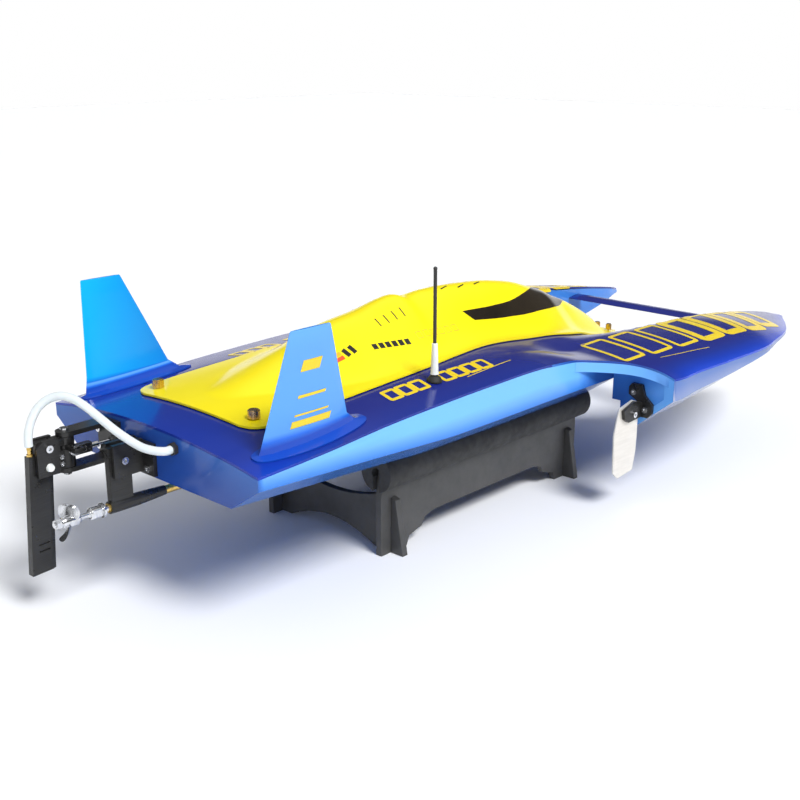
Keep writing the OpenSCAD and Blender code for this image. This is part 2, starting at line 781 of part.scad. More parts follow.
module prop_nut() {
    color("silver")
        place()
            translate([prop_x - 11.4, shaft_y, shaft_z])
                rotate([0, 90, 0])
                    difference() {
                        union() {
                            cylinder(d = 7.4, h = 3.4, $fn = 6);
                            translate([0, 0, 3.3]) cylinder(d = 7, h = 1, $fn = 32);
                        }
                        translate([0, 0, -1]) cylinder(d = 4.1, h = 6, $fn = 32);
                    }
}

// ---------------------------------------------------------------- motor
motor_l = 56;
motor_d = 36;
module motor_mount() {
    color("dimgray")
        place()
            difference() {
                union() {
                    motor_line() translate([motor_gap - 3.2, -20, -17]) cube([3, 40, 38]);
                    translate([236, shaft_y - 22, floor_z]) cube([31, 44, 3]);
                }
                motor_line() translate([motor_gap - 8, 0, 0]) along_x(13, 12);
                for (k = [0:3])
                    motor_line()
                        rotate([45 + 90 * k, 0, 0])
                            translate([motor_gap - 8, 0, 12.5]) along_x(3.2, 12);
                for (s = [-1, 1])
                    translate([241, shaft_y + s * 17, 80]) cylinder(d = 3.2, h = 20, $fn = 32);
            }
}
module motor_can() {
    color([0.2, 0.2, 0.22])
        place()
            motor_line()
                difference() {
                    union() {
                        translate([motor_gap, 0, 0]) along_x(motor_d, motor_l);
                        translate([motor_gap + motor_l - 0.1, 0, 0]) along_x(motor_d - 8, 3);
                    }
                    translate([motor_gap + 2, 0, 0]) along_x(motor_d - 8, motor_l - 4);
                    translate([motor_gap - 1, 0, 0]) along_x(9, 5);
                    translate([motor_gap + motor_l - 5, 0, 0]) along_x(9, 12);
                    for (k = [0:3])
                        rotate([45 + 90 * k, 0, 0])
                            translate([motor_gap - 1, 0, 12.5]) along_x(2.6, 4);
                }
}
module motor_bearings() {
    color("silver")
        place()
            motor_line()
                for (q = [0.1, motor_l - 1])
                    translate([motor_gap + q, 0, 0])
                        difference() {
                            along_x(8.95, 3);
                            translate([-1, 0, 0]) along_x(5.1, 5);
                        }
}
module motor_screws() {
    color("silver")
        place() {
            motor_line()
                for (k = [0:3])
                    rotate([45 + 90 * k, 0, 0])
                        translate([motor_gap - 3.2, 0, 12.5]) rotate([0, -90, 0]) cap_screw(2.5, 4.8);
            for (s = [-1, 1])
                translate([241, shaft_y + s * 17, floor_z + 3]) cap_screw(3, 2.9);
        }
}
module water_jacket() {
    color("steelblue")
        place()
            motor_line() {
                difference() {
                    translate([motor_gap + 16, 0, 0]) along_x(motor_d + 5, 30);
                    translate([motor_gap + 15, 0, 0]) along_x(motor_d + 0.1, 32);
                    // groove that the water runs round in
                    translate([motor_gap + 19, 0, 0]) along_x(motor_d + 3, 24);
                }
                for (q = jacket_ports)
                    translate([motor_gap + q, 0, motor_d / 2 + 2.3]) {
                        difference() {
                            union() {
                                cylinder(d = 3.6, h = 7, $fn = 32);
                                translate([0, 0, 5]) cylinder(d1 = 4.6, d2 = 3.8, h = 2, $fn = 32);
                            }
                            translate([0, 0, -2]) cylinder(d = 2, h = 12, $fn = 32);
                        }
                    }
            }
}
jacket_ports = [22, 40];

// Point on the motor line at a distance and a height above the line
function on_motor(along, up) = [
    cable_entry_x + bend_r * sin(motor_slope) + along * cos(motor_slope) - up * sin(motor_slope),
    shaft_y,
    shaft_z + bend_r * (1 - cos(motor_slope)) + along * sin(motor_slope) + up * cos(motor_slope),
];
module jacket_hoses() {
    a = on_motor(motor_gap + jacket_ports[0], motor_d / 2 + 9.6);
    b = on_motor(motor_gap + jacket_ports[1], motor_d / 2 + 9.6);
    rise = [-sin(motor_slope), 0, cos(motor_slope)];
    color("whitesmoke")
        place() {
            hose([a, a + rise * 6, [282, 8, 150], [280, 8, 156], [276.5, 7.8, 161], [271, 7.5, 165],
                  [264, 7, 167.5], [256, 6, 168], [243, 3, 165.5], [230, -1, 160.5], [215, -6, 153],
                  [198, -11, 144.5], [178, -17, 136.5], [155, -23, 130.5], [128, -28, 127],
                  [98, -31, 125.5], [65, -32, 125.5], [35, outlet_y, outlet_z],
                  [5.3, outlet_y, outlet_z]], 5, 8);
            hose([b, b + rise * 6, [301.5, 7.5, 155], [304.5, 6.5, 162.5], [310.5, 5, 168.5],
                  [319, 3, 171.5], [328, 0.5, 170.5], [335.5, -2, 166], [341.5, -4, 159],
                  [346.5, -5.5, 150], [351, -6.5, 140.5], [356, -7.2, 131], [362, -7.7, 122],
                  [369, -8, 114], [377.5, -8, 108.5], [387, -8, 105.5], [397.7, -8, 105]], 5, 8);
        }
}

module motor_rotor() {
    color("gray")
        place()
            motor_line() {
                translate([motor_gap + 4, 0, 0]) along_x(motor_d - 9, motor_l - 8);
                translate([motor_gap - 14, 0, 0]) along_x(5, motor_l + 17);
            }
}
module shaft_coupler() {
    color("silver")
        place()
            motor_line()
                difference() {
                    translate([motor_gap - 24, 0, 0]) along_x(11, 18);
                    translate([motor_gap - 14.01, 0, 0]) along_x(5, 12);
                    translate([motor_gap - 25, 0, 0]) along_x(cable_d + 0.8, 4.4);
                    for (q = [-19.5, -10])
                        translate([motor_gap + q, 0, 2]) cylinder(d = 3, h = 6, $fn = 32);
                }
}

// ---------------------------------------------------------------- rudder
arm_z = rod_z;      // the steering arm's mid height
module rudder_bracket() {
    color([0.12, 0.12, 0.13])
        place()
            difference() {
                union() {
                    translate([-plate_t - gap, rudder_y - 13, 99]) cube([plate_t, 26, 32]);
                    for (z = [101, 127.6])
                        linear_plate(z, 3.4);
                }
                translate([-pivot_x, rudder_y, 95]) cylinder(d = 4.1, h = 40, $fn = 32);
                translate([-plate_t - 1, rudder_y - arm_l, rod_z]) along_x(7.2, plate_t + 2);
                for (k = [4:7])
                    translate([-plate_t - 1, transom_screws[k][0], transom_screws[k][1]])
                        along_x(3.2, plate_t + 2);
            }
}
// Bracket arm: a plate that rounds off about the pivot
module linear_plate(z, t) {
    translate([0, 0, z])
        linear_extrude(height = t) {
            translate([-pivot_x, rudder_y]) circle(d = 13, $fn = 48);
            polygon([[-pivot_x, rudder_y - 6.5], [-pivot_x, rudder_y + 6.5], [-8, rudder_y + 8],
                     [-1, rudder_y + 12], [-1, rudder_y - 6], [-8, rudder_y - 6]]);
        }
}
module rudder_bracket_screws() {
    color("silver") place() screw_pair(4, 7);
}
module rudder_pivot_pin() {
    color("silver")
        place()
            translate([-pivot_x, rudder_y, 98]) {
                cylinder(d = 4, h = 33.2, $fn = 48);
                translate([0, 0, 33]) cylinder(d = 6.4, h = 2, $fn = 48);
                translate([0, 0, 0.6]) cylinder(d = 6.4, h = 2.2, $fn = 6);
            }
}
hub_low = 104.8;
hub_high = 127.2;
module rudder_holder() {
    color([0.14, 0.14, 0.15])
        place()
            difference() {
                union() {
                    translate([-pivot_x, rudder_y, hub_low])
                        cylinder(d = 12.6, h = hub_high - hub_low, $fn = 48);
                    translate([-pivot_x - 12, rudder_y - 5, hub_low]) cube([12, 10, hub_high - hub_low]);
                    // cheeks that clamp the blade, their back corners cut clear of the hose
                    for (s = [-1, 1])
                        translate([-pivot_x - 26, rudder_y + s * 4.7 + 1.6, hub_low - 2])
                            rotate([90, 0, 0]) linear_extrude(3.2)
                                polygon([[0, 0], [17, 0], [17, 26], [5, 26], [0, 21]]);
                }
                translate([-pivot_x, rudder_y, 95]) cylinder(d = 4.08, h = 40, $fn = 48);
                translate([-pivot_x - 7, rudder_y - arm_l, arm_z - 1.8]) cube([20, 2 * arm_l, 3.6]);
                for (q = holder_screws)
                    translate([-pivot_x - 17, rudder_y - 10, q]) rotate([-90, 0, 0])
                        cylinder(d = 3.1, h = 20, $fn = 32);
            }
}
holder_screws = [123, 109];
blade_low = 31;
blade_rake = 5.5;
module rudder_blade() {
    top_z = 118.6;
    color([0.1, 0.1, 0.11])
        place()
            difference() {
                union() {
                    // wedge raked aft: sharp in front, blunt behind
                    loft([
                        for (q = [[0, blade_low], [blade_rake, top_z]])
                            [
                                for (w = [[0, -3], [0, 3], [1, 3.05], [blade_l - 3, 1.3], [blade_l, 0],
                                          [blade_l - 3, -1.3], [1, -3.05]])
                                    [w[0] + q[0] - pivot_x - blade_reach, rudder_y + w[1], q[1]]
                            ]
                    ]);
                    // tang in the clamp
                        translate([-pivot_x - 24.7, rudder_y - 3, hub_low - 2]) cube([11.7, 6, 25]);
                }
                // clear of the holder's hub
                translate([-pivot_x - 12.3, rudder_y - 5, hub_low - 2.3]) cube([12, 10, 30]);
                // cooling water channel and its pickup slots
                translate([nipple_x, rudder_y, 44]) cylinder(d = 2.6, h = 90, $fn = 32);
                for (q = [47, 52])
                    translate([nipple_x - 1, rudder_y - 5, q]) cube([9, 10, 1.2]);
                for (q = holder_screws)
                    translate([-pivot_x - 17, rudder_y - 10, q]) rotate([-90, 0, 0])
                        cylinder(d = 3.1, h = 20, $fn = 32);
            }
}
// Arm that the pushrod turns, with a slot for the clevis pin; pin is at the origin's -Y side
module arm_shape(hub_d, t) {
    difference() {
        linear_extrude(height = t)
            difference() {
                union() {
                    circle(d = hub_d, $fn = 48);
                    translate([-3.5, -arm_l - 4.5]) square([7, arm_l + 4.5]);
                }
                translate([0, -arm_l + 0.3]) circle(r = slot_r, $fn = 32);
                translate([0, -arm_l - 2.2]) circle(r = slot_r, $fn = 32);
                translate([-slot_r, -arm_l - 2.2]) square([2 * slot_r, 2.5]);
            }
    }
}
slot_r = 1.55;
module steering_arm() {
    color([0.16, 0.16, 0.17])
        place()
            translate([-pivot_x, rudder_y, arm_z - 1.5])
                difference() {
                    arm_shape(12.4, 3);
                    translate([0, 0, -1]) cylinder(d = 4.08, h = 5, $fn = 48);
                }
}
module rudder_screws() {
    color("silver")
        place() {
            translate([-pivot_x - 17, rudder_y - 6.3, holder_screws[0]])
                rotate([90, 0, 0]) cap_screw(3, 12);
            for (z = [109, 114])
                translate([-pivot_x - 7, rudder_y - 5.1, z]) rotate([90, 0, 0]) cap_screw(2, 0, 1.4);
        }
}
module breakaway_screw() {
    color("white")
        place()
            translate([-pivot_x - 17, rudder_y - 6.3, holder_screws[1]])
                rotate([90, 0, 0]) {
                    cylinder(d1 = 6, d2 = 5, h = 2, $fn = 32);
                    translate([0, 0, -12]) cylinder(d = 3, h = 12.1, $fn = 32);
                }
}
nipple_x = -66;
module water_nipple() {
    color("darkgoldenrod")
        place()
            translate([nipple_x, rudder_y, 118.7])
                difference() {
                    union() {
                        cylinder(d = 5, h = 1.6, $fn = 6);
                        cylinder(d = 3.2, h = 7, $fn = 32);
                        translate([0, 0, 5]) cylinder(d1 = 3.9, d2 = 3.2, h = 1.6, $fn = 32);
                    }
                    translate([0, 0, -1]) cylinder(d = 1.8, h = 10, $fn = 32);
                }
}

// ---------------------------------------------------------------- steering linkage
servo_x = 110;
pin_y = rudder_y - arm_l;
module clevis() {
    // fork over the arm, with its pin; the pin is at the origin
    for (s = [-1, 1])
        translate([-3.2, -2.6, s * 2.75 - 0.75]) cube([11, 5.2, 1.5]);
    translate([6.3, -2.6, -3.5]) cube([5, 5.2, 7]);
    translate([0, 0, -3.5]) cylinder(r = 1, h = 7, $fn = 32);
}
module pushrod() {
    color("silver")
        place()
            translate([0, pin_y, rod_z]) {
                translate([-pivot_x, 0, 0]) clevis();
                translate([servo_x, 0, 0]) mirror([1, 0, 0]) clevis();
                translate([-pivot_x + 10, 0, 0]) along_x(4.4, 7);
                translate([-pivot_x + 16, 0, 0]) along_x(2.2, servo_x + pivot_x - 26);
            }
}
module pushrod_bellows() {
    color([0.08, 0.08, 0.08])
        place()
            translate([hull_t + gap, pin_y, rod_z])
                rotate([0, 90, 0])
                    rotate_extrude($fn = 48)
                        polygon([[1.45, -13], [2.3, -13], [2.3, -11.5], [3.6, -10.5], [2.7, -9.2],
                                 [4, -8],
                                 [3, -6.6], [3.4, -5.4], [3.4, 0], [6.5, 0], [6.5, 1.6], [1.45, 1.6]]);
}
module steering_servo() {
    z0 = 97;
    color([0.1, 0.1, 0.1])
        place()
            difference() {
                union() {
                    translate([servo_x - 8, rudder_y - 8, z0]) cube([32, 16, 20]);
                    translate([servo_x - 14, rudder_y - 8, z0 + 13]) cube([44, 16, 2]);
                    translate([servo_x, rudder_y, z0 + 19.9]) cylinder(d = 11, h = 1.6, $fn = 48);
                    // mounting posts bonded to the floor
                    for (x = [servo_x - 14, servo_x + 24.2])
                        translate([x, rudder_y - 8, z0 - 1.5]) cube([5.8, 16, 14.6]);
                    translate([servo_x - 14, rudder_y - 8, z0 - 1.5]) cube([44, 16, 1.6]);
                }
                for (x = [servo_x - 11, servo_x + 27])
                    translate([x, rudder_y, z0 + 5]) cylinder(d = 2.2, h = 14, $fn = 32);
                // output shaft bearing
                translate([servo_x, rudder_y, z0 + 14]) cylinder(d = 4.1, h = 10, $fn = 48);
            }
}
module servo_screws() {
    color("silver")
        place()
            for (x = [servo_x - 11, servo_x + 27])
                translate([x, rudder_y, 112]) cap_screw(2.1, 6, 1.6);
}
module servo_horn() {
    color("white")
        place()
            translate([servo_x, rudder_y, rod_z - 1.2]) {
                arm_shape(8, 2.4);
                translate([0, 0, 2.3]) cylinder(d = 5, h = 1, $fn = 32);
                translate([0, 0, -7]) cylinder(d = 4, h = 7.1, $fn = 48);
            }
}

// ---------------------------------------------------------------- cooling water
outlet_y = -32;
outlet_z = 126;
module water_outlet() {
    color([0.1, 0.1, 0.1])
        place()
            translate([0, outlet_y, outlet_z])
                rotate([0, 90, 0])
                    difference() {
                        union() {
                            translate([0, 0, -3.2]) cylinder(d = 9.5, h = 3.1, $fn = 6);
                            translate([0, 0, hull_t + gap]) cylinder(d = 9.5, h = 3, $fn = 6);
                            translate([0, 0, -2]) cylinder(d = 4.8, h = 6, $fn = 32);
                        }
                        translate([0, 0, -12]) cylinder(d = 2, h = 30, $fn = 32);
                    }
}
// Hose from the rudder's nipple over to the transom, held at both ends
hose_route = [
    [-66, 45, 126], [-66, 45, 130], [-65, 45, 137], [-62, 44.5, 145], [-57.5, 43.5, 152],
    [-51.5, 40, 157.5], [-45.5, 34, 160], [-41, 26, 159], [-37, 17, 154.5], [-32.5, 8, 147.5],
    [-28, -2, 140], [-23, -11, 133.5], [-18, -19.5, 128.5],
    [-13, -27, 126.5], [-8, -32, 126], [-3.5, -32, 126],
];
module water_hose() {
    color("white") place() hose(hose_route, 6, 10);
}

// ---------------------------------------------------------------- electronics
floor_z = curve(keel_z, step_x) + hull_t + gap;
module speed_control() {
    color([0.12, 0.14, 0.2])
        place()
            translate([398, -20, floor_z]) {
                cube([58, 40, 22]);
                for (k = [0:6])
                    translate([4, 4.2 + k * 4.9, 21.9]) cube([50, 2, 5]);
            }
}
module radio_box() {
    color("gray")
        place()
            translate([140, -80, 93.2])
                difference() {
                    cube([52, 42, 26]);
                    translate([2, 2, 2]) cube([48, 38, 20]);
                }
}
pack_y = 57;
module battery_tray() {
    color([0.1, 0.1, 0.1])
        place()
            for (s = [-1, 1])
                translate([246, s * pack_y - 25, floor_z])
                    difference() {
                        cube([144, 50, 8]);
                        translate([2, 2, 2]) cube([140, 46, 8]);
                    }
}
module battery_packs() {
    color("darkblue")
        place()
            for (s = [-1, 1])
                translate([249, s * pack_y - 22.5, floor_z + 2.1]) cube([138, 45, 25]);
}
module battery_straps() {
    color([0.08, 0.08, 0.08])
        place()
            for (s = [-1, 1])
                for (x = [278, 340])
                    translate([x, s * pack_y, floor_z + 8.1])
                        rotate([90, 0, 90])
                            linear_extrude(height = 16)
                                polygon([[-25, 0], [-25, 20.6], [25, 20.6], [25, 0], [23, 0], [23, 19.2],
                                         [-23, 19.2], [-23, 0]]);
}

// ---------------------------------------------------------------- stand
stand_x = 166;      // aft end of the long panels
foot_z = 22;
cross_x = [stand_x + 14, stand_x + stand_l - 14];
foam_z = 88 - lift - foam_d / 2;

// Long panel outline: arched below, straight on top, with a halving slot from below
module long_panel_outline() {
    difference() {
        polygon(concat(
            [[0, 0], [0, 50], [3, foam_z], [stand_l - 3, foam_z], [stand_l, 50], [stand_l, 0],
             [stand_l - 30, 0], [stand_l - 33, 8]],
            [
                for (k = [0:10])
                    let (a = 18 * k)
                    [stand_l / 2 + (stand_l / 2 - 48) * cos(a),
                     12 + (foot_z - 12) * min(1, sin(a) * 2.2)]
            ],
            [[33, 8], [30, 0]]
        ));
        for (x = [14, stand_l - 14])
            translate([x - panel_t / 2 - 0.05, -1]) square([panel_t + 0.1, 24]);
    }
}
module stand_long_panels() {
    color([0.23, 0.24, 0.25])
        place()
            for (s = [-1, 1])
                translate([stand_x, s * stand_w / 2 + panel_t / 2, 0])
                    rotate([90, 0, 0])
                        linear_extrude(height = panel_t) long_panel_outline();
}
// Cross panel outline: hollow cradle on top, arch below, slots from above
module cross_panel_outline() {
    w = stand_w / 2;
    difference() {
        polygon(concat(
            [[-w - 16, 0], [-w - 8, 46], [-w + 3, 50], [-w + 9, 48]],
            [
                for (k = [1:9])
                    let (y = -w + 9 + (2 * w - 18) * k / 10)
                    [y, 38 + 10 * pow(abs(y) / (w - 9), 2)]
            ],
            [[w - 9, 48], [w - 3, 50], [w + 8, 46], [w + 16, 0], [w - 14, 0]],
            [for (k = [1:9]) let (y = w - 14 - (2 * w - 28) * k / 10) [y, 12 * sin(18 * k) + 1]],
            [[-w + 14, 0]]
        ));
        for (s = [-1, 1])
            translate([s * w - panel_t / 2 - 0.05, 23.1]) square([panel_t + 0.1, 40]);
    }
}
module stand_cross_panels() {
    color([0.23, 0.24, 0.25])
        place()
            for (x = cross_x)
                translate([x - panel_t / 2, 0, 0])
                    rotate([90, 0, 90])
                        linear_extrude(height = panel_t) cross_panel_outline();
}
module foam_tubes() {
    color([0.3, 0.31, 0.32])
        place()
            for (s = [-1, 1])
                translate([stand_x - 3, s * stand_w / 2, foam_z])
                    difference() {
                        along_x(foam_d, stand_l + 8);
                        translate([-1, 0, 0]) along_x(9, stand_l + 10);
                        // slit that grips the panel's top
                        translate([-1, -panel_t / 2 - 0.05, -foam_d])
                            cube([stand_l + 10, panel_t + 0.1, foam_d + 0.1]);
                    }
}

hull_tub();
sponson_starboard();
sponson_port();
deck();
canard_wing();
fin_starboard();
fin_port();
hatch_studs();
antenna_grommet();
antenna_sleeve();
antenna_tube();
turn_fin_bracket();
turn_fin_blade();
turn_fin_screws();
strut_bracket();
strut();
strut_bushing();
strut_screws();
stuffing_tube();
flex_cable();
rudder_bracket();
rudder_bracket_screws();
rudder_pivot_pin();
pushrod_bellows();
water_outlet();
water_hose();
motor_mount();
motor_can();
motor_bearings();
motor_screws();
water_jacket();
jacket_hoses();
speed_control();
radio_box();
steering_servo();
servo_screws();
battery_tray();
battery_packs();
battery_straps();
drive_dog();
propeller();
prop_nut();
motor_rotor();
shaft_coupler();
rudder_holder();
rudder_blade();
steering_arm();
rudder_screws();
breakaway_screw();
water_nipple();
pushrod();
servo_horn();
hatch_cowl();
thumb_nut_rear_port();
thumb_nut_rear_starboard();
thumb_nut_front_port();
thumb_nut_front_starboard();
stand_long_panels();
stand_cross_panels();
foam_tubes();
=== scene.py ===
"""Looks of the hydroplane on its stand.

Smooth skins follow the hull's own curves, and every piece has a material.
"""
import json
import math

import bmesh
import bpy
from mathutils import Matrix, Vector


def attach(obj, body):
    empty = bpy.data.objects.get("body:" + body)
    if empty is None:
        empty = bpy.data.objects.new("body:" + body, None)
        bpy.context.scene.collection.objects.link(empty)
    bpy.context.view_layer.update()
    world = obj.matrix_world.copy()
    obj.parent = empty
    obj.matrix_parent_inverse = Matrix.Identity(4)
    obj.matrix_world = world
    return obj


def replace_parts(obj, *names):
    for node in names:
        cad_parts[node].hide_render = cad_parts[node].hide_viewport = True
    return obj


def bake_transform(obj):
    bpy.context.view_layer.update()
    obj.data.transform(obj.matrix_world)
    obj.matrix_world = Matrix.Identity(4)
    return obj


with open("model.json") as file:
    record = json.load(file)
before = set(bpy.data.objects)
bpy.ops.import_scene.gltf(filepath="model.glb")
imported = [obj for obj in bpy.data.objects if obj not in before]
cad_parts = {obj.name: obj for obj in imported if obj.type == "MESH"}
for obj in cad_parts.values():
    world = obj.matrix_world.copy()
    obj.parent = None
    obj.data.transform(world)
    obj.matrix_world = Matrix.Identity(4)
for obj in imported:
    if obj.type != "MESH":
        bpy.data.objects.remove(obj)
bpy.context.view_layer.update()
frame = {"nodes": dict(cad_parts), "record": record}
nodes = frame["nodes"]

# ---------------------------------------------------------------- the hull's own numbers, in mm
HULL_L = 762.0
TAIL_HALF = 119.5
FLARE = 63.5
STEP_FLARE = 0.955      # share of the flare that a sponson has at its step
STEP_X = 410.0
LIP_X = 345.0
FLARE_X = (320.0, 380.0)   # where the curves across the deck take on the flare
HULL_T = 2.0
DECK_T = 1.8
COWL_T = 1.5
X_SHIFT = 344.0
WALL_X = 600.0
WALL_IN, WALL_OUT = 94.0, 95.0   # inner edge and riding wall of a sponson at WALL_X
FRONT_X = 540.0
FRONT_TUB = 45.0        # half width of the tub at FRONT_X
NOSE_X = 590.0
SHAFT_Y = 8.0
SHAFT_Z = 80.0
BOND = 0.1              # gap between bonded mouldings


def place(p):
    """Millimetres from the transom to metres in the row frame."""
    return ((p[0] - X_SHIFT) / 1000, p[1] / 1000, p[2] / 1000)


def mix(a, b, t):
    return a + (b - a) * t


def clamp(t):
    return min(1.0, max(0.0, t))


def smooth(t):
    t = clamp(t)
    return t * t * (3 - 2 * t)


def curve(points, x):
    """Smooth curve through [(x, value), ...]."""
    last = len(points) - 1
    i = 0
    while i < last - 1 and x >= points[i + 1][0]:
        i += 1

    def lean(k):
        a, b = max(0, k - 1), min(last, k + 1)
        return (points[b][1] - points[a][1]) / (points[b][0] - points[a][0])

    width = points[i + 1][0] - points[i][0]
    t = clamp((x - points[i][0]) / width)
    t2, t3 = t * t, t * t * t
    return (
        points[i][1] * (2 * t3 - 3 * t2 + 1)
        + lean(i) * width * (t3 - 2 * t2 + t)
        + points[i + 1][1] * (3 * t2 - 2 * t3)
        + lean(i + 1) * width * (t3 - t2)
    )


MID_Z = [(0, 136.5), (60, 141), (120, 144.5), (180, 147), (240, 148), (300, 148), (345, 145),
         (410, 139), (450, 126), (480, 114), (540, 104), (600, 97)]
SHOULDER_Z = [(0, 132.3), (60, 136.5), (120, 140), (180, 142.8), (240, 144), (300, 143.5),
              (340, 139), (380, 131.5), (410, 130.5), (460, 131), (540, 130), (580, 129.5),
              (607, 128), (650, 123), (695, 116.5), (740, 109), (762, 103.5)]
OUTER_Z = [(0, 127), (60, 130), (120, 134.5), (180, 137), (240, 138.5), (310, 138.5),
           (340, 133), (380, 120), (410, 117.5), (500, 117), (560, 115.5), (610, 113),
           (650, 110.5), (690, 107.5), (730, 104.5), (762, 102.5)]
SHOULDER_Y = [(0, 80), (300, 80), (380, 90), (410, 85), (450, 76), (500, 82), (540, 87),
              (600, 94), (700, 94), (735, 97), (762, 105)]
ROLL = [(0, 1.3), (320, 1.3), (390, 3), (600, 2.5), (762, 1.5)]
OUTLINE = [(STEP_X, STEP_FLARE), (STEP_X + 12, 0.985), (450, 0.97), (500, 1), (573, 0.97),
           (626, 0.78), (676, 0.55), (720, 0.22), (750, -0.05), (762, -0.15)]
CHINE = [(0, 117), (60, 114), (110, 111.5), (155, 109), (200, 107), (STEP_X, 107),
         (480, 103), (FRONT_X, 98), (NOSE_X, 95)]
KEEL = [(0, 98), (60, 95), (110, 92.5), (155, 90), (190, 88), (STEP_X, 88), (480, 88),
        (FRONT_X, 90), (NOSE_X, 92)]
TUB_Y = [(0, TAIL_HALF), (STEP_X, TAIL_HALF), (430, 108), (480, 82), (FRONT_X, FRONT_TUB),
         (565, 30), (NOSE_X, 12)]
WALL_Y = [(STEP_X, 128.5), (440, 122), (500, 111), (560, 100), (WALL_X, WALL_OUT), (700, WALL_OUT),
          (735, 98), (762, 105)]
ROOF_Z = [(STEP_X, 88), (440, 90), (480, 94), (FRONT_X, 101), (575, 108), (WALL_X, 112), (762, 104)]
RIDE_Z = [(STEP_X, 60.6), (500, 63.5), (560, 68.5), (620, 76), (680, 86), (720, 93), (745, 97),
          (762, 98)]
BAND = [(STEP_X, 18), (500, 12), (570, 6), (640, 2), (762, 1.2)]
COWL_BACK, COWL_NOSE = 37.0, 586.0
COWL_Y = [(COWL_BACK, 56), (40, 64), (46, 69.5), (56, 72), (118, 72), (176, 71), (215, 69),
          (258, 64), (320, 58), (390, 56.5), (430, 57), (460, 53), (500, 43), (540, 31),
          (570, 18), (COWL_NOSE, 8)]
RIDGE = [(60, 0), (85, 3), (110, 8), (145, 17.5), (179, 28), (215, 33), (250, 39.3), (266, 36.3),
         (290, 37.8), (340, 39.2), (367, 39), (397, 37), (425, 36), (468, 37), (494, 34),
         (521, 25.5), (540, 17), (557, 5.5), (568, 1), (COWL_NOSE, 0)]
PEAK = [(60, 2.6), (110, 2.2), (150, 1.5), (200, 1.25), (300, 1.15), (400, 1.1), (500, 1.2),
        (586, 1.5)]
SEAT_Y = [(60, 14), (85, 26), (110, 42), (145, 58), (180, 66), (258, 62), (320, 57), (430, 55),
          (460, 51), (500, 41), (540, 29), (570, 17), (COWL_NOSE, 8)]
LIFT = 0.9
SEAM = 0.15
HATCH_BACK = 58.0
RIM = 9.0


def outer_y(x):
    """Half width of the deck's own edge."""
    if x <= LIP_X:
        return TAIL_HALF
    if x < STEP_X:
        run = math.sqrt(max(0.0, 1 - ((x - LIP_X) / (STEP_X - LIP_X)) ** 2))
        return TAIL_HALF + FLARE * STEP_FLARE * (1 - run)
    return TAIL_HALF + FLARE * curve(OUTLINE, x)


def full_y(x):
    """Half width that the curves across the deck run out to, before the lip cuts it back."""
    back, front = FLARE_X
    if x <= back:
        return TAIL_HALF
    if x >= front:
        return TAIL_HALF + FLARE * (STEP_FLARE if x < STEP_X else curve(OUTLINE, x))
    return mix(TAIL_HALF, TAIL_HALF + FLARE * STEP_FLARE, (x - back) / (front - back))


def deck_z(x, y):
    """Height of the deck's top."""
    a = abs(y)
    s = curve(SHOULDER_Y, x)
    zs = curve(SHOULDER_Z, x)
    if a <= s:
        return mix(curve(MID_Z, x), zs, (a / s) ** 2)
    return mix(zs, curve(OUTER_Z, x), clamp((a - s) / (full_y(x) - s)) ** curve(ROLL, x))


def deck_in(x):
    """Half width of the opening in the deck."""
    if x < HATCH_BACK:
        return 0.0
    if x <= FRONT_X:
        return min(curve(COWL_Y, x) - RIM, (x - HATCH_BACK) * 6 + 40)
    if x < WALL_X:
        return mix(curve(COWL_Y, FRONT_X) - RIM, WALL_IN, (x - FRONT_X) / (WALL_X - FRONT_X))
    return curve(SHOULDER_Y, x)


def cowl_h(x, y):
    """Height of the cowl's dome over its rim."""
    if x <= RIDGE[0][0]:
        return 0.0
    s = clamp(abs(y) / curve(SEAT_Y, x))
    dome = max(0.0, math.cos(math.radians(90 * s)))
    return max(0.0, curve(RIDGE, x)) * dome ** (2 / curve(PEAK, x) * 1.15)


def cowl_z(x, y):
    """Height of the cowl's top."""
    return deck_z(x, y) + LIFT + COWL_T + cowl_h(x, y)


def steps(a, b, n):
    """n + 1 even values from a to b."""
    return [mix(a, b, k / n) for k in range(n + 1)]


# ---------------------------------------------------------------- materials
def shade(name, base, rough=0.4, metal=0.0, build=None, **inputs):
    """Principled material. build(tree, shader) adds the pattern that varies it."""
    m = bpy.data.materials.new(name)
    m.use_nodes = True
    tree = m.node_tree
    shader = tree.nodes["Principled BSDF"]
    shader.inputs["Base Color"].default_value = (*base, 1)
    shader.inputs["Roughness"].default_value = rough
    shader.inputs["Metallic"].default_value = metal
    for key, value in inputs.items():
        shader.inputs[key.replace("_", " ")].default_value = value
    if build:
        build(tree, shader)
    return m


def add(tree, kind, **values):
    n = tree.nodes.new("ShaderNode" + kind)
    for key, value in values.items():
        if hasattr(n, key):
            setattr(n, key, value)
        else:
            n.inputs[key.replace("_", " ")].default_value = value
    return n


def noise(tree, scale, detail=4.0, rough=0.6, stretch=None):
    """Noise in the piece's own metres, stretched along chosen axes."""
    where = add(tree, "TexCoord")
    out = add(tree, "TexNoise", Scale=scale, Detail=detail, Roughness=rough)
    if stretch:
        m = add(tree, "Mapping")
        m.inputs["Scale"].default_value = stretch
        tree.links.new(where.outputs["Object"], m.inputs["Vector"])
        tree.links.new(m.outputs["Vector"], out.inputs["Vector"])
    else:
        tree.links.new(where.outputs["Object"], out.inputs["Vector"])
    return out


def ramp(tree, source, stops):
    r = add(tree, "ValToRGB")
    e = r.color_ramp.elements
    while len(e) < len(stops):
        e.new(0.5)
    for k, (at, colour) in enumerate(stops):
        e[k].position = at
        e[k].color = (*colour, 1) if len(colour) == 3 else colour
    tree.links.new(source, r.inputs["Fac"])
    return r


def grey(v):
    return (v, v, v)


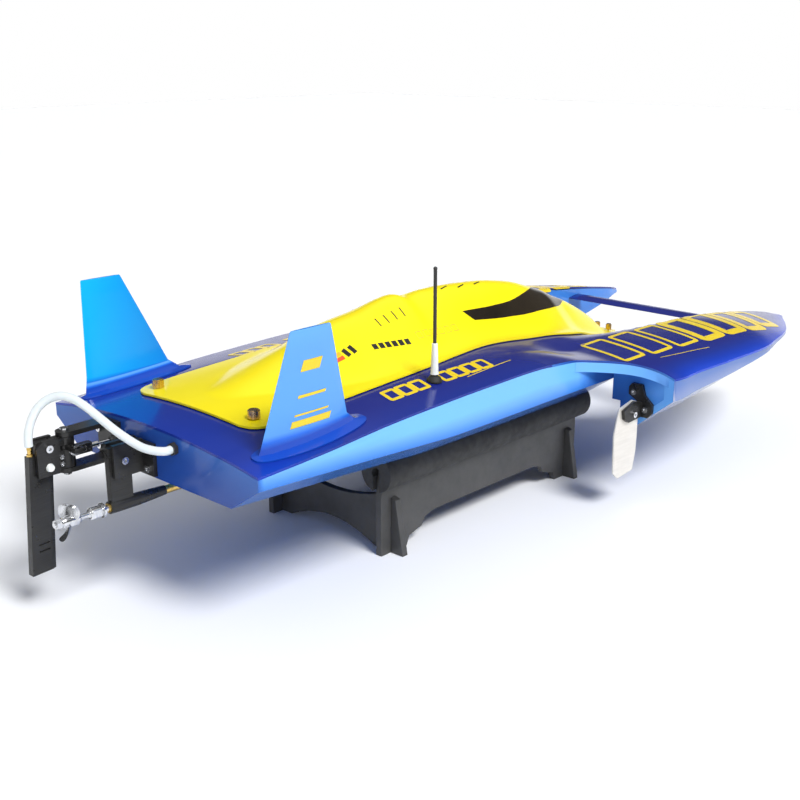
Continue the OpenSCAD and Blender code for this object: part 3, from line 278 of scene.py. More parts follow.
def bump(tree, shader, height, strength, distance):
    b = add(tree, "Bump")
    b.inputs["Strength"].default_value = strength
    b.inputs["Distance"].default_value = distance
    tree.links.new(height, b.inputs["Height"])
    tree.links.new(b.outputs["Normal"], shader.inputs["Normal"])


def gelcoat(name, stops, attribute=None, rough=0.16):
    """Sprayed gloss: stops is a colour ramp over the mesh's own attribute (on the blues, a per-point value of
    painted light and shade), or over a soft mottle.
    """
    def build(tree, shader):
        mottle = noise(tree, 9, 3)
        if attribute:
            a = add(tree, "Attribute", attribute_name=attribute)
            shift = add(tree, "Math", operation="MULTIPLY_ADD")
            shift.inputs[1].default_value = 0.05
            tree.links.new(mottle.outputs["Fac"], shift.inputs[0])
            tree.links.new(a.outputs["Fac"], shift.inputs[2])
            source = shift.outputs[0]
        else:
            source = mottle.outputs["Fac"]
        tree.links.new(ramp(tree, source, stops).outputs["Color"], shader.inputs["Base Color"])
        fine = noise(tree, 60, 5)
        polish = ramp(tree, fine.outputs["Fac"], [(0.3, grey(rough * 0.75)), (0.75, grey(rough * 1.4))])
        tree.links.new(polish.outputs["Color"], shader.inputs["Roughness"])
        peel = noise(tree, 350, 2)
        bump(tree, shader, peel.outputs["Fac"], 0.04, 0.0003)
        shader.inputs["Specular IOR Level"].default_value = 0.25
        shader.inputs["Coat Weight"].default_value = 0.2
        shader.inputs["Coat Roughness"].default_value = 0.05
        shader.inputs["Coat IOR"].default_value = 1.5
    return shade(name, stops[0][1], rough, build=build)


def brushed(name, dark, light, rough, stretch=(8, 8, 400), metal=1.0, scale=6.0, depth=0.06):
    """Machined or drawn metal: fine lines along one axis with uneven polish."""
    def build(tree, shader):
        lines = noise(tree, scale, 6, 0.7, stretch)
        tree.links.new(ramp(tree, lines.outputs["Fac"], [(0.3, dark), (0.7, light)]).outputs["Color"],
                       shader.inputs["Base Color"])
        smudge = noise(tree, 70, 4)
        polish = ramp(tree, smudge.outputs["Fac"], [(0.3, grey(rough * 0.7)), (0.75, grey(rough * 1.5))])
        tree.links.new(polish.outputs["Color"], shader.inputs["Roughness"])
        bump(tree, shader, lines.outputs["Fac"], depth, 0.0004)
    return shade(name, light, rough, metal, build=build)


def moulded(name, dark, light, rough, grain=900, depth=0.12, **inputs):
    """Moulded plastic, rubber or board with a fine grain."""
    def build(tree, shader):
        cloud = noise(tree, 30, 4)
        tree.links.new(ramp(tree, cloud.outputs["Fac"], [(0.3, dark), (0.72, light)]).outputs["Color"],
                       shader.inputs["Base Color"])
        tree.links.new(
            ramp(tree, noise(tree, 140, 3).outputs["Fac"],
                 [(0.3, grey(rough * 0.85)), (0.75, grey(min(1, rough * 1.2)))]).outputs["Color"],
            shader.inputs["Roughness"])
        bump(tree, shader, noise(tree, grain, 3).outputs["Fac"], depth, 0.0004)
    return shade(name, light, rough, build=build, **inputs)


# One metallic blue in painted light and shade: NAVY and ROYAL are its shaded look on the deck, AZURE and SKY
# its lit look on the sides and fins.
NAVY = (0.012, 0.02, 0.2)
ROYAL = (0.006, 0.04, 0.42)
AZURE = (0.13, 0.37, 0.86)
SKY = (0.16, 0.48, 1.0)
YELLOW = (0.92, 0.76, 0.006)

# Shaded and lit copies of that one blue paint, for the deck and for the sides; each ramp runs over a
# per-point value that paints light and shade into the colour.
deck_blue_shaded_copy = gelcoat("deck_gelcoat", [(0.0, NAVY), (0.42, (0.008, 0.03, 0.28)), (0.75, ROYAL),
                                      (1.0, (0.012, 0.06, 0.55))], "painted_light")
side_blue_lit_copy = gelcoat("hull_gelcoat", [(0.0, (0.012, 0.05, 0.3)), (0.45, (0.05, 0.22, 0.68)), (0.8, AZURE),
                                      (1.0, SKY)], "painted_light")
# The fins' copy of the blue, with painted light and shade: the low stop is the dark foot, the mid stops the
# lit azure of the outer faces, the upper stops the deep blue to cyan of the inner faces.
fin_paint = gelcoat("fin_gelcoat", [(0.05, (0.005, 0.035, 0.36)), (0.25, (0.015, 0.14, 0.68)),
                                    (0.42, (0.1, 0.34, 0.85)), (0.53, (0.12, 0.36, 0.85)),
                                    (0.62, (0.008, 0.17, 0.66)), (1.0, (0.006, 0.38, 0.86))], "painted_light")
# Pale lilac grey: a painted reflection of the floor on the sponsons' outer bands, darker where it fades.
band_floor_reflection = gelcoat("sponson_band_floor_reflection", [(0.6, (0.34, 0.38, 0.54)), (0.76, (0.11, 0.19, 0.46)),
                                      (0.96, (0.03, 0.08, 0.28))], "painted_light")
cowl_paint = gelcoat("cowl_gelcoat", [(0.35, YELLOW), (0.7, (0.94, 0.8, 0.008))], rough=0.2)
yellow_trim = gelcoat("yellow_trim", [(0.35, (0.8, 0.58, 0.02)), (0.7, (0.86, 0.66, 0.03))], rough=0.25)
black_trim = gelcoat("black_trim", [(0.35, grey(0.012)), (0.7, grey(0.025))], rough=0.3)
orange_trim = gelcoat("orange_trim", [(0.35, (0.9, 0.4, 0.02)), (0.7, (0.95, 0.5, 0.03))], rough=0.3)
red_trim = gelcoat("red_trim", [(0.35, (0.8, 0.05, 0.02)), (0.7, (0.95, 0.12, 0.03))], rough=0.3)
glass_paint = gelcoat("screen_tint", [(0.3, (0.012, 0.009, 0.006)), (0.75, (0.04, 0.03, 0.018))], rough=0.1)
anodised = brushed("black_anodised", grey(0.025), grey(0.045), 0.32, metal=0.6, depth=0.03)
bare_metal = brushed("bare_aluminium", (0.72, 0.69, 0.64), (0.82, 0.79, 0.74), 0.45,
                     stretch=(6, 6, 60), metal=0.5)
blue_metal = brushed("blue_anodised", (0.02, 0.08, 0.35), (0.04, 0.14, 0.5), 0.3)
steel = brushed("bright_steel", (0.55, 0.56, 0.58), (0.85, 0.86, 0.88), 0.18,
                stretch=(120, 12, 12), depth=0.03)
cable_metal = brushed("cable_steel", (0.16, 0.16, 0.17), (0.42, 0.42, 0.44), 0.35,
                      stretch=(300, 40, 40), depth=0.2)
nut_metal = brushed("nut_brass", (0.55, 0.34, 0.12), (0.85, 0.66, 0.38), 0.2, stretch=(20, 20, 200))
brass = brushed("brass_parts", (0.62, 0.4, 0.1), (0.85, 0.6, 0.2), 0.24, stretch=(80, 12, 12))
rubber = moulded("black_rubber", grey(0.01), grey(0.025), 0.62)
nylon = moulded("white_nylon", (0.78, 0.78, 0.76), (0.92, 0.92, 0.9), 0.4, Subsurface_Weight=0.1)
plastic = moulded("black_plastic", grey(0.012), grey(0.03), 0.42)
smoke = moulded("grey_plastic", grey(0.1), grey(0.16), 0.45)
motor_paint = moulded("motor_paint", (0.012, 0.012, 0.02), (0.03, 0.03, 0.045), 0.3, Metallic=0.4)
wrap = moulded("battery_wrap", (0.01, 0.03, 0.18), (0.02, 0.06, 0.3), 0.22, grain=200, depth=0.25)
webbing = moulded("strap_webbing", grey(0.008), grey(0.03), 0.85, grain=1600, depth=0.6)
board = moulded("stand_board", grey(0.045), grey(0.065), 0.5, grain=700)
foam = moulded("foam_rubber", grey(0.028), grey(0.045), 0.8, grain=1300, depth=0.5)


def hose_skin():
    def build(tree, shader):
        edge = add(tree, "LayerWeight", Blend=0.35)
        tree.links.new(ramp(tree, noise(tree, 40, 3).outputs["Fac"],
                            [(0.3, (0.8, 0.8, 0.8)), (0.75, (0.9, 0.9, 0.9))]).outputs["Color"],
                       shader.inputs["Base Color"])
        polish = ramp(tree, edge.outputs["Facing"], [(0.2, grey(0.14)), (0.9, grey(0.3))])
        tree.links.new(polish.outputs["Color"], shader.inputs["Roughness"])
        bump(tree, shader, noise(tree, 300, 2).outputs["Fac"], 0.08, 0.0003)
    return shade("silicone_hose", grey(0.85), 0.2, build=build,
                 Transmission_Weight=0.06, Subsurface_Weight=0.2, IOR=1.41)


silicone = hose_skin()
BY_SLOT = {
    "deck_gelcoat": deck_blue_shaded_copy, "hull_gelcoat": side_blue_lit_copy, "fin_gelcoat": fin_paint,
    "cowl_gelcoat": cowl_paint, "black_anodised": anodised, "bare_aluminium": bare_metal,
    "blue_anodised": blue_metal, "bright_steel": steel, "cable_steel": cable_metal,
    "nut_brass": nut_metal, "brass_parts": brass, "black_rubber": rubber,
    "silicone_hose": silicone, "white_nylon": nylon, "black_plastic": plastic,
    "grey_plastic": smoke, "motor_paint": motor_paint, "battery_wrap": wrap,
    "strap_webbing": webbing, "stand_board": board, "foam_rubber": foam,
}
SLOT_OF = {s["node"]: s["material_slot"] for s in frame["record"]["subparts"]}
for name, o in nodes.items():
    for k in range(len(o.material_slots)):
        o.material_slots[k].material = BY_SLOT[SLOT_OF[name]]


# ---------------------------------------------------------------- mesh tools
def piece(name, verts, faces, body, materials, painted_light=None, marks=None, sharp=35):
    """A piece from points in mm. The per-point value given after the materials paints light and shade into
    the paint's colour, marks a material index per face.
    """
    mesh = bpy.data.meshes.new(name)
    mesh.from_pydata([place(p) for p in verts], [], faces)
    for m in materials:
        mesh.materials.append(m)
    if marks:
        mesh.polygons.foreach_set("material_index", marks)
    if painted_light:
        # Per-point value of painted light and shade, read by the blue paints' ramps.
        a = mesh.attributes.new("painted_light", "FLOAT", "POINT")
        a.data.foreach_set("value", painted_light)
    mesh.shade_smooth()
    mesh.update()
    o = bpy.data.objects.new(name, mesh)
    bpy.context.scene.collection.objects.link(o)
    bm = bmesh.new()
    bm.from_mesh(mesh)
    bmesh.ops.recalc_face_normals(bm, faces=bm.faces)
    for e in bm.edges:
        if len(e.link_faces) == 2 and e.calc_face_angle(0) > math.radians(sharp):
            e.smooth = False
    bm.to_mesh(mesh)
    bm.free()
    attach(o, body)
    return o


def grid(rows, closed=False):
    """Faces between rows of points that all have the same count."""
    n = len(rows[0])
    verts = [p for r in rows for p in r]
    wide = n if closed else n - 1
    faces = []
    for i in range(len(rows) - 1):
        for j in range(wide):
            a, b = i * n + j, i * n + (j + 1) % n
            faces.append((a, b, b + n, a + n))
    return verts, faces


def loft(rows):
    """Closed solid through closed rings."""
    verts, faces = grid(rows, True)
    n = len(rows[0])
    faces.append(tuple(range(n - 1, -1, -1)))
    faces.append(tuple(range(len(verts) - n, len(verts))))
    return verts, faces


def bevel(o, width, segments=2, angle=30):
    b = o.modifiers.new("bevel", "BEVEL")
    b.width = width / 1000
    b.segments = segments
    b.limit_method = "ANGLE"
    b.angle_limit = math.radians(angle)
    b.harden_normals = True
    b.use_clamp_overlap = True
    return o


def softened(name, width, body, angle=35):
    """The CAD node's own shape with its edges broken, as a machined or moulded edge is."""
    mesh = nodes[name].data.copy()
    o = bpy.data.objects.new(name + "_finished", mesh)
    bpy.context.scene.collection.objects.link(o)
    bm = bmesh.new()
    bm.from_mesh(mesh)
    bmesh.ops.remove_doubles(bm, verts=bm.verts, dist=1e-6)
    bmesh.ops.dissolve_limit(bm, angle_limit=math.radians(0.5), verts=bm.verts, edges=bm.edges)
    for e in bm.edges:
        e.smooth = not (len(e.link_faces) == 2 and e.calc_face_angle(0) > math.radians(angle))
    for f in bm.faces:
        f.smooth = True
    bm.to_mesh(mesh)
    bm.free()
    if mesh.attributes.get("custom_normal"):
        mesh.attributes.remove(mesh.attributes["custom_normal"])
    bevel(o, width, 2, angle)
    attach(o, body)
    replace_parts(o, name)
    return o


# ---------------------------------------------------------------- hull skins
TUB_BOTTOM = (0.762, 0.9)   # share of the tub's width that its flat bottom takes, aft and at the bow
KEEL_LEVEL_X = 190.0


def stations():
    """Places along the hull: aft of the lip, round the lip, and ahead of the step."""
    a = steps(0, LIP_X, 60)
    b = [LIP_X + (STEP_X - LIP_X) * math.sin(math.radians(90 * k / 22)) for k in range(1, 23)]
    c = steps(STEP_X, HULL_L, 96)[1:]
    return a, b, c


AFT, LIP, FORE = stations()
DECK_X = AFT + LIP + FORE


def deck_half(side):
    """One side of the deck, from the hatch opening out to its edge, with its paint and painted light."""
    across = [1 - (1 - k / 34) ** 1.5 for k in range(35)]
    rows, painted_light = [], []
    for x in DECK_X:
        i, o = deck_in(x), outer_y(x)
        top = [(x, side * mix(i, o, t), deck_z(x, mix(i, o, t))) for t in across]
        low = [(p[0], p[1], p[2] - DECK_T) for p in reversed(top)]
        rows.append(top + low)
        for p in top + low:
            # Painted reflection: lighter over the last 26 mm to the rolled edge, faintly aft of x 380 and
            # strongly ahead of it. The deck is also lighter over its last 90 mm to the transom.
            edge = clamp((abs(p[1]) - (full_y(x) - 26)) / 26)
            aft = smooth((90 - x) / 90) * 0.45
            fore = smooth((x - 380) / 60)
            painted_light.append(clamp(max(aft + edge * 0.25, edge * 0.95 * fore)))
    verts, faces = loft(rows)
    n = len(rows[0])
    half = len(across)
    # The deck's edge face beside the lip takes the lit side copy of the blue.
    marks = []
    for i in range(len(rows) - 1):
        for j in range(n):
            marks.append(1 if j == half - 1 and LIP_X - 30 < DECK_X[i] < STEP_X else 0)
    marks += [0, 0]
    return verts, faces, painted_light, marks


def deck():
    verts, faces, painted_light, marks = [], [], [], []
    for side in (1, -1):
        v, f, w, m = deck_half(side)
        faces += [tuple(k + len(verts) for k in q) for q in f]
        verts += v
        painted_light += w
        marks += m
    o = piece("deck_skin", verts, faces, "boat", [deck_blue_shaded_copy, side_blue_lit_copy], painted_light, marks)
    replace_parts(o, "deck")
    return o


def tub_side(x):
    return TAIL_HALF - BOND if x <= STEP_X else curve(TUB_Y, x)


def tub_strip(x, t):
    """Open strip round the tub, from sheer to sheer under the keel, t inside the skin."""
    full = tub_side(x)
    side = full - t
    bottom = full * mix(*TUB_BOTTOM, clamp((x - STEP_X) / 90)) - t * 0.6
    z0 = curve(KEEL, x) + t
    z1 = curve(CHINE, x) + t * 0.3
    z2 = deck_z(x, side) - DECK_T - SEAM
    half = [(x, bottom * k / 8, z0) for k in range(9)]
    half += [(x, mix(bottom, side, k / 4), mix(z0, z1, k / 4)) for k in range(1, 5)]
    half += [(x, side, mix(z1, z2, k / 4)) for k in range(1, 5)]
    return [(p[0], -p[1], p[2]) for p in reversed(half[1:])] + half


def tub_crown(x, t):
    """Top of an end wall, which follows the deck from starboard to port."""
    side = tub_side(x) - t
    return [(x, side * k / 10, deck_z(x, side * k / 10) - DECK_T - SEAM) for k in range(9, -10, -1)]


def hull_painted_light(p):
    """Painted light and shade for the lower hull: lit flanks darker down to the chines, the transom in
    painted shade and lighter towards its top corners, and a painted shadow under the lip by the sponsons.
    """
    if p[0] < 0.6:
        return 0.22 * clamp((p[2] - 98) / 30) * clamp(abs(p[1]) / 110)
    up = clamp((p[2] - curve(CHINE, min(p[0], NOSE_X))) / 12)
    # Painted shadow on the tub's side under the lip, from x 355 to 380.
    return mix(mix(0.3, 0.92, up), 0.12, clamp((p[0] - 355) / 25))


def hull_tub():
    """Open shell: outer and inner skins, the rims between them, and an end wall fore and aft."""
    xs = steps(0, KEEL_LEVEL_X, 38) + steps(KEEL_LEVEL_X, STEP_X, 24)[1:]
    xs += steps(STEP_X, NOSE_X - 12, 34)[1:] + [NOSE_X]
    outer = [tub_strip(x, 0) for x in xs]
    inner = [tub_strip(x, HULL_T) for x in [HULL_T] + xs[1:-1] + [NOSE_X - 3 * HULL_T]]
    n, m = len(outer[0]), len(outer)
    verts = [p for row in outer + inner for p in row]
    faces = []
    for layer in (0, n * m):
        for i in range(m - 1):
            for j in range(n - 1):
                a = layer + i * n + j
                faces.append((a, a + 1, a + 1 + n, a + n))
    for side in (0, n - 1):
        for i in range(m - 1):
            a = i * n + side
            faces.append((a, a + n, a + n + n * m, a + n * m))
    for row in (0, m - 1):
        tops = []
        for layer, skin, t in ((0, outer, 0), (n * m, inner, HULL_T)):
            first = layer + row * n
            top = tub_crown(skin[row][0][0], t)
            new = list(range(len(verts), len(verts) + len(top)))
            verts += top
            faces.append(tuple(range(first, first + n)) + tuple(new))
            tops.append([first + n - 1] + new + [first])
        for k in range(len(tops[0]) - 1):
            faces.append((tops[0][k], tops[0][k + 1], tops[1][k + 1], tops[1][k]))
    o = piece("hull_tub_skin", verts, faces, "boat", [side_blue_lit_copy],
              [hull_painted_light(p) for p in verts], sharp=18)
    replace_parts(o, "hull_tub")
    return o


RING_POINTS = 16
FLOOR_REFLECTION_FACES = (12, 13)   # faces from the deck's edge down to the chine, which carry the painted floor reflection


def sponson_ring(x, side):
    """Section of a sponson: roof, inner wall, top under the deck, outer band, chine and riding face."""
    u = clamp((x - FRONT_X) / (WALL_X - FRONT_X))
    o = outer_y(x)
    w = curve(WALL_Y, x)
    i = curve(TUB_Y, x) + BOND
    if x >= FRONT_X:
        i = mix(FRONT_TUB, WALL_IN, u) + (w - WALL_OUT if x > WALL_X else 0)
    low = curve(RIDE_Z, x)
    edge = deck_z(x, o) - DECK_T - SEAM
    roof = curve(ROOF_Z, x) if x < WALL_X else mix(low, edge, 0.4)
    top = DECK_T + SEAM
    z_in = deck_z(x, i) - top
    k = clamp((x - STEP_X) / 340)
    chine_y, chine_z = mix(w, o, mix(0.36, 0.6, k)), low + mix(9, 1, k)
    corners = [(w - 0.4, roof), (i, roof), (i, z_in)]
    corners += [(mix(i, o, q / 10), deck_z(x, mix(i, o, q / 10)) - top) for q in range(1, 11)]
    corners += [(o, edge - curve(BAND, x)), (chine_y, chine_z), (w, low)]
    return [(x, side * y, z) for y, z in corners]


def lip_ring(x, side):
    """Section of the lip that runs aft from the sponson's step to the hull's side."""
    o, i, depth = outer_y(x), TAIL_HALF, 8.5
    low = [(mix(o, i, q), deck_z(x, mix(o, i, q)) - DECK_T - SEAM - depth)
           for q in [0, 0.01] + steps(0.125, 1, 7)]
    top = [(mix(i, o, k / 8), deck_z(x, mix(i, o, k / 8)) - DECK_T - SEAM) for k in range(9)]
    return [(x, side * y, z) for y, z in low + top]


def sponson(name, side):
    xs = [STEP_X] + FORE
    verts, faces = loft([sponson_ring(x, side) for x in xs])
    lv, lf = loft([lip_ring(x, side) for x in LIP[:-1] + [STEP_X, STEP_X + 3]])
    faces += [tuple(k + len(verts) for k in f) for f in lf]
    verts += lv

    # Painted light and shade: the lip's underside darker, with a painted highlight on its outer edge; the
    # flat back in painted shade, lighter outboard; the outer band's painted floor reflection palest at the
    # chine and fading towards the deck's edge and the bow; the other faces lighter higher up.
    def painted_light(p):
        outer = outer_y(p[0])
        if p[0] <= STEP_X + 3 and p[2] > 112:
            return 0.84 if abs(p[1]) > outer - 0.2 else 0.4
        if abs(p[0] - STEP_X) < 0.5:
            return 0.14 + 0.3 * clamp((abs(p[1]) - 145) / 35)
        if abs(p[1]) > outer - 0.2:
            ahead = clamp((p[0] - 520) / 110)
            at_deck = p[2] > deck_z(p[0], outer) - DECK_T - 1
            return mix(0.76, 0.95, ahead) if at_deck else mix(0.66, 0.84, ahead)
        return mix(0.25, 0.45, clamp((p[2] - 62) / 50))

    # The outer band's faces take the painted floor reflection.
    marks = [1 if k % RING_POINTS in FLOOR_REFLECTION_FACES else 0 for k in range((len(xs) - 1) * RING_POINTS)]
    marks += [0] * (len(faces) - len(marks))

    o = piece(name + "_skin", verts, faces, "boat", [side_blue_lit_copy, band_floor_reflection],
              [painted_light(p) for p in verts], marks, sharp=20)
    bevel(o, 0.7, 2, 25)
    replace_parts(o, name)
    return o


def sponson_edge_highlight(name, side):
    """Painted highlight: a pale blue strip down the outer side of the sponson's flat back, in line with the
    lip.
    """
    ring = sponson_ring(STEP_X, side)[12:15]
    rows = [[(STEP_X - 0.25, y - side * inset, z) for inset in (0.3, 3, 6, 9)] for x, y, z in ring]
    verts, faces = grid(rows)
    return piece(name, verts, faces, "boat", [side_blue_lit_copy], [0.84] * len(verts))


def cowl():
    across = [math.sin(math.radians(90 * k / 30)) for k in range(-30, 31)]
    xs = [COWL_BACK, 37.6, 38.6, 40, 42, 44.5, 47.5, 51, 56] + steps(60, 150, 30) + steps(150, 290, 48)[1:]
    xs += steps(290, COWL_NOSE, 84)[1:]
    rows = []
    for x in xs:
        w = curve(COWL_Y, x)
        top = [(x, t * w, cowl_z(x, t * w)) for t in across]
        low = [(p[0], p[1], p[2] - COWL_T) for p in reversed(top)]
        rows.append(top + low)
    verts, faces = loft(rows)
    o = piece("cowl_skin", verts, faces, "cowl", [cowl_paint], sharp=50)
    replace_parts(o, "hatch_cowl")
    return o


FIN_X, FIN_Y = 60.0, 101.0   # middle of a fin's foot
FIN_CANT = 0.225             # outwards for each mm up
FIN_H = 84.0
FIN_BASE = deck_z(FIN_X, FIN_Y)
# Height, trailing and leading edge, half thickness, roundness, and whether it follows the deck
FIN_FOOT = [(0.1, 12, 114, 13, 0.35, True), (1.2, 12, 114, 13, 0.35, True),
            (1.8, 14, 110, 10, 0.4, True), (2.6, 16, 104, 5.5, 0.5, True), (6, 17, 100, 3.6, 0.55, True)]
FIN_ROOT = (12, 19, 95, 2.8, 0.6)
FIN_TOP = (FIN_H - 1, 30, 66, 1.7, 0.5)
FIN_RINGS = FIN_FOOT + [tuple(mix(a, b, t) for a, b in zip(FIN_ROOT, FIN_TOP)) + (False,)
                        for t in steps(0, 1, 6)]
FIN_RINGS.append((FIN_H, 30.5, 65, 1.2, 0.5, False))


def fin_point(s, h, x0, x1, half, e, on_deck, side):
    """Point of a fin's ring at height h, s of the way along its chord."""
    x = mix(x0, x1, s)
    y = FIN_Y + FIN_CANT * h + side * half * max(0.0, math.sin(math.pi * s)) ** e
    return (x, y, (deck_z(x, y) if on_deck else FIN_BASE) + h)


def fin(name, side):
    n = 36
    rows = []
    for ring in FIN_RINGS:
        a = [fin_point(0.5 - 0.5 * math.cos(math.pi * k / n), *ring, 1) for k in range(n + 1)]
        b = [fin_point(0.5 - 0.5 * math.cos(math.pi * k / n), *ring, -1) for k in range(n - 1, 0, -1)]
        rows.append([(p[0], side * p[1], p[2]) for p in a + b])
    verts, faces = loft(rows)

    # Painted light and shade: darkest at the foot, the inner face lighter towards its trailing edge, the
    # outer face lighter higher up.
    def painted_light(p):
        h = clamp((p[2] - 139) / FIN_H)
        inner = abs(p[1]) - FIN_Y - FIN_CANT * (p[2] - FIN_BASE) < 0.05
        if h < 0.05:
            return 0.07
        if inner:
            return mix(0.62, 0.98, clamp(1.15 - (p[0] - 20) / 75))
        return mix(0.36, 0.5, h)

    o = piece(name + "_skin", verts, faces, "boat", [fin_paint],
              [painted_light(p) for p in verts], sharp=50)
    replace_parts(o, name)
    return o


deck()
hull_tub()
sponson("sponson_port", 1)
sponson("sponson_starboard", -1)
# Painted highlights down the outer edges of the sponsons' flat backs.
sponson_edge_highlight("sponson_edge_port", 1)
sponson_edge_highlight("sponson_edge_starboard", -1)
cowl()
fin("fin_port", 1)
fin("fin_starboard", -1)


# ---------------------------------------------------------------- painted trim, laid on the skins
PAINT_RISE = 0.2   # how far the trim stands proud of its surface
PAINT_STEP = 3     # length of its quads


def trim(name, rows, body, material):
    verts, faces = grid(rows)
    piece(name, verts, faces, body, [material])


def ribbon(points, width, surface, closed=False):
    """Rows of points for a painted line of that width along points (x, y) on a surface z(x, y)."""
    pts = list(points) + ([points[0]] if closed else [])
    line = []
    for (x0, y0), (x1, y1) in zip(pts, pts[1:]):
        count = max(2, int(math.hypot(x1 - x0, y1 - y0) / PAINT_STEP))
        line += [(mix(x0, x1, k / count), mix(y0, y1, k / count)) for k in range(count)]
    line.append(pts[-1])
    rows = []
    for k, (x, y) in enumerate(line):
        a, b = line[max(0, k - 1)], line[min(len(line) - 1, k + 1)]
        if closed and k in (0, len(line) - 1):
            a, b = line[-2], line[1]
        d = Vector((b[0] - a[0], b[1] - a[1])).normalized()
        row = []
        for w in (-0.5, -0.17, 0.17, 0.5):
            px, py = x - d.y * w * width, y + d.x * w * width
            row.append((px, py, surface(px, py) + PAINT_RISE))
        rows.append(row)
    return rows


def ring_of(cx, cy, length, height, slant):
    """Points round a slanted block with small round corners."""
    out = []
    r = min(length, height) * 0.1
    n = 3
    for qx, qy, start in ((1, 1, 0), (-1, 1, 90), (-1, -1, 180), (1, -1, 270)):
        for k in range(n + 1):
            a = math.radians(start + 90 * k / n)
            x = qx * (length / 2 - r) + r * math.cos(a)
            y = qy * (height / 2 - r) + r * math.sin(a)
            out.append((cx + x + y * slant, cy + y))
    return out


def side_name(side):
    return "port" if side > 0 else "starboard"


def block(name, x, y, length, width, line, surface, body, material, slant=0.0):
    """Slanted outlined block: a plain stand-in for a letter."""
    trim(name, ribbon(ring_of(x, y, length, width, slant), line, surface, closed=True), body, material)


def bar(name, x0, y0, x1, y1, line, surface, body, material):
    trim(name, ribbon([(x0, y0), (x1, y1)], line, surface), body, material)


def sponson_graphics(side):
    """Seven outlined blocks along the sponson's top: three thin, then four thick."""
    for k in range(7):
        x = 419 + 41 * k
        near = curve([(0, 85), (3, 91), (6, 100)], k)
        far = min(curve([(0, 138), (3, 147), (6, 150)], k), outer_y(x + 18) - 9)
        middle, width = (near + far) / 2, far - near
        block(f"sponson_block_{side_name(side)}_{k}", x, side * middle, 30, width, 4.4 if k < 3 else 9.5,
              deck_z, "boat", yellow_trim, side * -0.21)
    bar(f"sponson_line_{side_name(side)}", 436, side * 150, 505, side * 160, 0.7, deck_z, "boat", yellow_trim)


def deck_graphics(side):
    """Seven small blocks beside the cowl, parted for the antenna, and a thin line."""
    for k, x in enumerate((158, 173, 188, 219, 234, 249, 264)):
        block(f"deck_block_{side_name(side)}_{k}", x, side * 87.5, 11.5, 14, 3.4, deck_z, "boat",
              yellow_trim, side * -0.2)
    bar(f"deck_line_{side_name(side)}", 232, side * 99, 292, side * 95, 0.9, deck_z, "boat", yellow_trim)


def cowl_graphics(side):
    """Plain bars and dashes on the cowl's flank."""
    tag = side_name(side)
    bar(f"cowl_orange_{tag}", 146, side * 29.5, 161, side * 30, 3.4, cowl_z, "cowl", orange_trim)
    bar(f"cowl_red_{tag}", 146, side * 33.3, 161, side * 34, 3.4, cowl_z, "cowl", red_trim)
    for k, x in enumerate((164.5, 171)):
        bar(f"cowl_bold_{tag}_{k}", x, side * 28.5, x + 1.5, side * 35.5, 4, cowl_z, "cowl", black_trim)
    for k in range(6):
        x, y = 190 + 6.8 * k, 36.6 + 0.7 * k
        bar(f"cowl_dash_{tag}_{k}", x, side * y, x + 4.8, side * (y + 0.5), 4.4, cowl_z, "cowl", black_trim)
    for k in range(4):
        x = 213 + 9.5 * k
        bar(f"cowl_stroke_{tag}_{k}", x, side * 16.5, x, side * 24, 1.1, cowl_z, "cowl", black_trim)
    for k in range(6):
        x, y = 243 + 9 * k, 38.2 - 0.1 * k
        block(f"cowl_faint_{tag}_{k}", x, side * y, 6, 4.4, 0.5, cowl_z, "cowl", orange_trim)
    for k, (x, y) in enumerate(((309, 7), (330, 8.5), (354, 7))):
        bar(f"cowl_tick_{tag}_{k}", x - 4, side * y, x + 7, side * (y - 3), 1.2, cowl_z, "cowl", black_trim)


def fin_graphics(side):
    """Yellow bars on the fin's outer face, at heights up the fin."""
    for k, (h, x0, x1, wide) in enumerate(((16, 40, 76, 5), (22.5, 42, 73, 1.4), (36, 43, 68, 2.2),
                                           (58, 43, 60, 8))):
        rows = []
        for i in range(13):
            row = []
            for j in range(4):
                z = h + wide * (j / 3 - 0.5)
                q = clamp((z - 12) / (FIN_H - 13))
                x = mix(x0, x1, i / 12) + (z - h) * 0.2
                s = clamp((x - mix(19, 30, q)) / (mix(95, 66, q) - mix(19, 30, q)))
                half = mix(2.8, 1.7, q) * math.sin(math.pi * s) ** mix(0.6, 0.5, q)
                row.append((x, side * (FIN_Y + FIN_CANT * z + half + 0.3), FIN_BASE + z))
            rows.append(row)
        trim(f"fin_bar_{side_name(side)}_{k}", rows, "boat", yellow_trim)


def windscreen():
    """Dark screen round the canopy's front: each row runs from its top to its bottom edge."""
    high_x = [(0, 310), (0.25, 352), (0.5, 386), (0.75, 420), (1, 447)]
    high_y = [(0, 27.5), (0.25, 26), (0.5, 23), (0.75, 14), (1, 0)]
    low_x = [(0, 319), (0.25, 362), (0.5, 410), (0.75, 462), (1, 501)]
    low_y = [(0, 34.4), (0.25, 34.6), (0.5, 32), (0.75, 20), (1, 0)]
    rows = []
    for k in range(-48, 49):
        t = 1 - abs(k) / 48
        side = -1 if k < 0 else 1
        row = []
        for j in range(15):
            x = mix(curve(high_x, t), curve(low_x, t), j / 14)
            y = side * mix(curve(high_y, t), curve(low_y, t), j / 14)
            row.append((x, y, cowl_z(x, y) + PAINT_RISE))
        rows.append(row)
    trim("windscreen", rows, "cowl", glass_paint)


windscreen()
for side in (1, -1):
    sponson_graphics(side)
    deck_graphics(side)
    cowl_graphics(side)
    fin_graphics(side)


